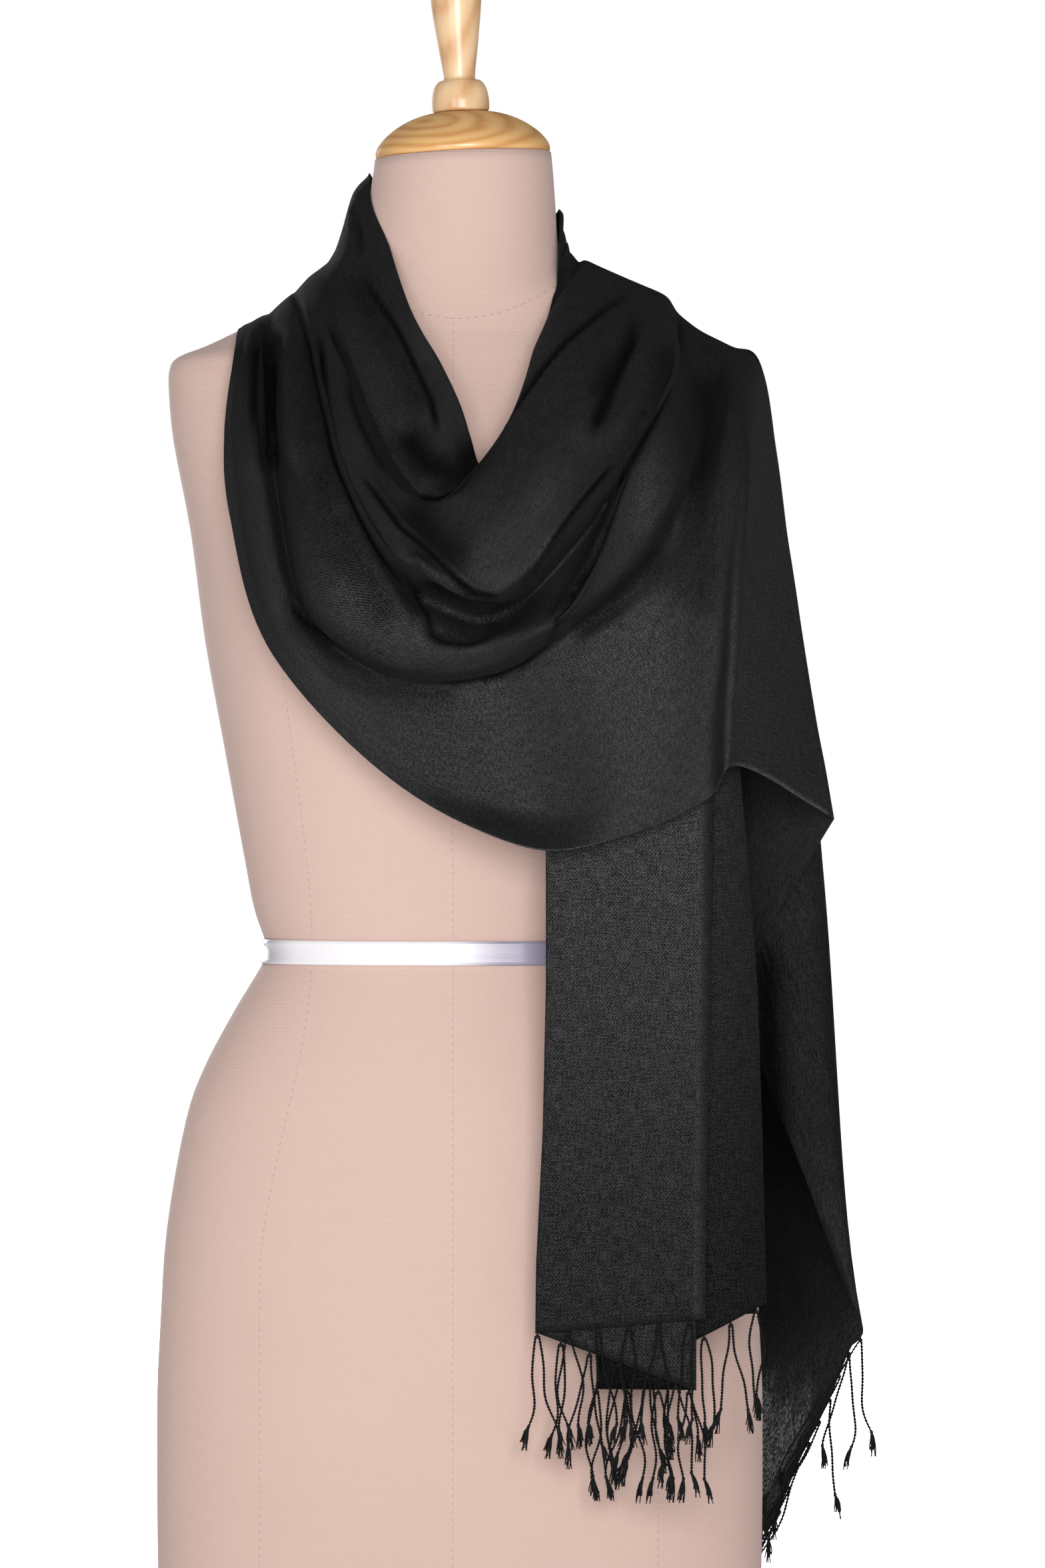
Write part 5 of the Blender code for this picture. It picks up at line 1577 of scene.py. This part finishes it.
def photo_camera():
    """The camera, where the photograph was taken from."""
    data = bpy.data.cameras.new("photo_camera")
    data.sensor_width = SENSOR
    data.lens = SENSOR * CAMERA_AWAY / (VIEW_HEIGHT * PIXEL)
    camera = bpy.data.objects.new("photo_camera", data)
    camera.location = (CAMERA_ACROSS, -CAMERA_AWAY, CAMERA_HEIGHT)
    camera.rotation_euler = (math.pi / 2.0, 0.0, 0.0)
    bpy.context.scene.collection.objects.link(camera)
    bpy.context.scene.camera = camera


def soft_light(name, place, aim, size, power):
    """A square studio light that looks at a point."""
    data = bpy.data.lights.new(name, "AREA")
    data.size = size
    data.energy = power
    light = bpy.data.objects.new(name, data)
    light.location = place
    light.rotation_euler = (Vector(aim) - Vector(place)).to_track_quat("-Z", "Y").to_euler()
    bpy.context.scene.collection.objects.link(light)


def studio():
    """A pale floor that runs out to a pale horizon, and soft lights."""
    bm = bmesh.new()
    bmesh.ops.create_grid(bm, x_segments=1, y_segments=1, size=FLOOR_SIZE)
    floor = new_object("pale_floor", bm)
    material, nodes, shader = new_material(
        "pale_paper", Base_Color=(0.9, 0.9, 0.9), Roughness=0.95, Specular_IOR_Level=0.1,
        Emission_Strength=1.0)
    seen = nodes.add("LightPath", {}).outputs["Is Camera Ray"]
    nodes.put(nodes.mix(seen, (0.12, 0.12, 0.12), (0.9, 0.9, 0.9)), shader["Emission Color"])
    floor.data.materials.append(material)
    world = bpy.data.worlds.new("studio_air")
    bpy.context.scene.world = world
    world.use_nodes = True
    nodes = Nodes(world.node_tree)
    air = world.node_tree.nodes["Background"].inputs
    nodes.put((1.0, 1.0, 1.0), air["Color"])
    seen = nodes.add("LightPath", {}).outputs
    room = nodes.span(seen["Is Glossy Ray"], 0.0, 1.0, ROOM_LIGHT, ROOM_GLOSS)
    nodes.put(nodes.span(seen["Is Camera Ray"], 0.0, 1.0, room, 1.0), air["Strength"])
    for light in LIGHTS:
        soft_light(*light)
    bpy.context.scene.view_settings.view_transform = "Standard"


def main():
    photo_camera()
    studio()
    grain = grain_group()
    silk = silk_material(weave_group())
    build_form(jersey_material())
    build_tape(satin_material())
    pine = wood_material("varnished_pine", grain, PINE_COLOURS, heart=PINE_HEART,
                         turn=(0.0, -0.08, 1.57), stretch=(0.3, 0.3, 1.0), gloss=0.45,
                         rings=58.0, warp=3.0)
    light_pine = wood_material("varnished_light_pine", grain, LIGHT_PINE_COLOURS, heart=MIDDLE,
                               turn=(0.1, 0.2, 0.0), stretch=(1.0, 1.0, 0.12), gloss=0.6,
                               rings=70.0, warp=2.5)
    board = wood_material("sanded_board", grain, BOARD_COLOURS, heart=MIDDLE,
                          turn=(0.0, 0.1, 0.0), stretch=(0.25, 1.0, 1.0), gloss=0.0,
                          rings=30.0, warp=3.0)
    build_turned("turned_cap", CAP_PROFILE, "neck_cap", pine, CAP_SIDES)
    build_turned("turned_finial", FINIAL_PROFILE, "finial", light_pine, FINIAL_SIDES)
    build_board(board)

    form_tree = joined_tree(form_points())
    fall_lines, fall_flat = fall_grid()
    fall = build_fall(fall_lines, fall_flat, silk)
    grids = wrap_grids(form_tree, fall_lines)
    wrap = build_wrap(grids, silk)
    thread = thread_material()
    shown = SHOWN_LAYERS * (FALL_LAYER_STEPS + FALL_TURN_STEPS)
    front_hem = fall_lines[-1][:shown]
    tail = grids[2]
    tail_hem = tail[-1][round((len(tail[0]) - 1) * HEM_CORNER / TAIL_LAST):]
    front_fringe = hang_fringe("front_fringe_strands", front_hem, thread, "front_fringe", seed=3.0)
    tail_fringe = hang_fringe("tail_fringe_strands", tail_hem, thread, "tail_fringe", seed=71.0,
                              drifts=TAIL_DRIFTS)


main()
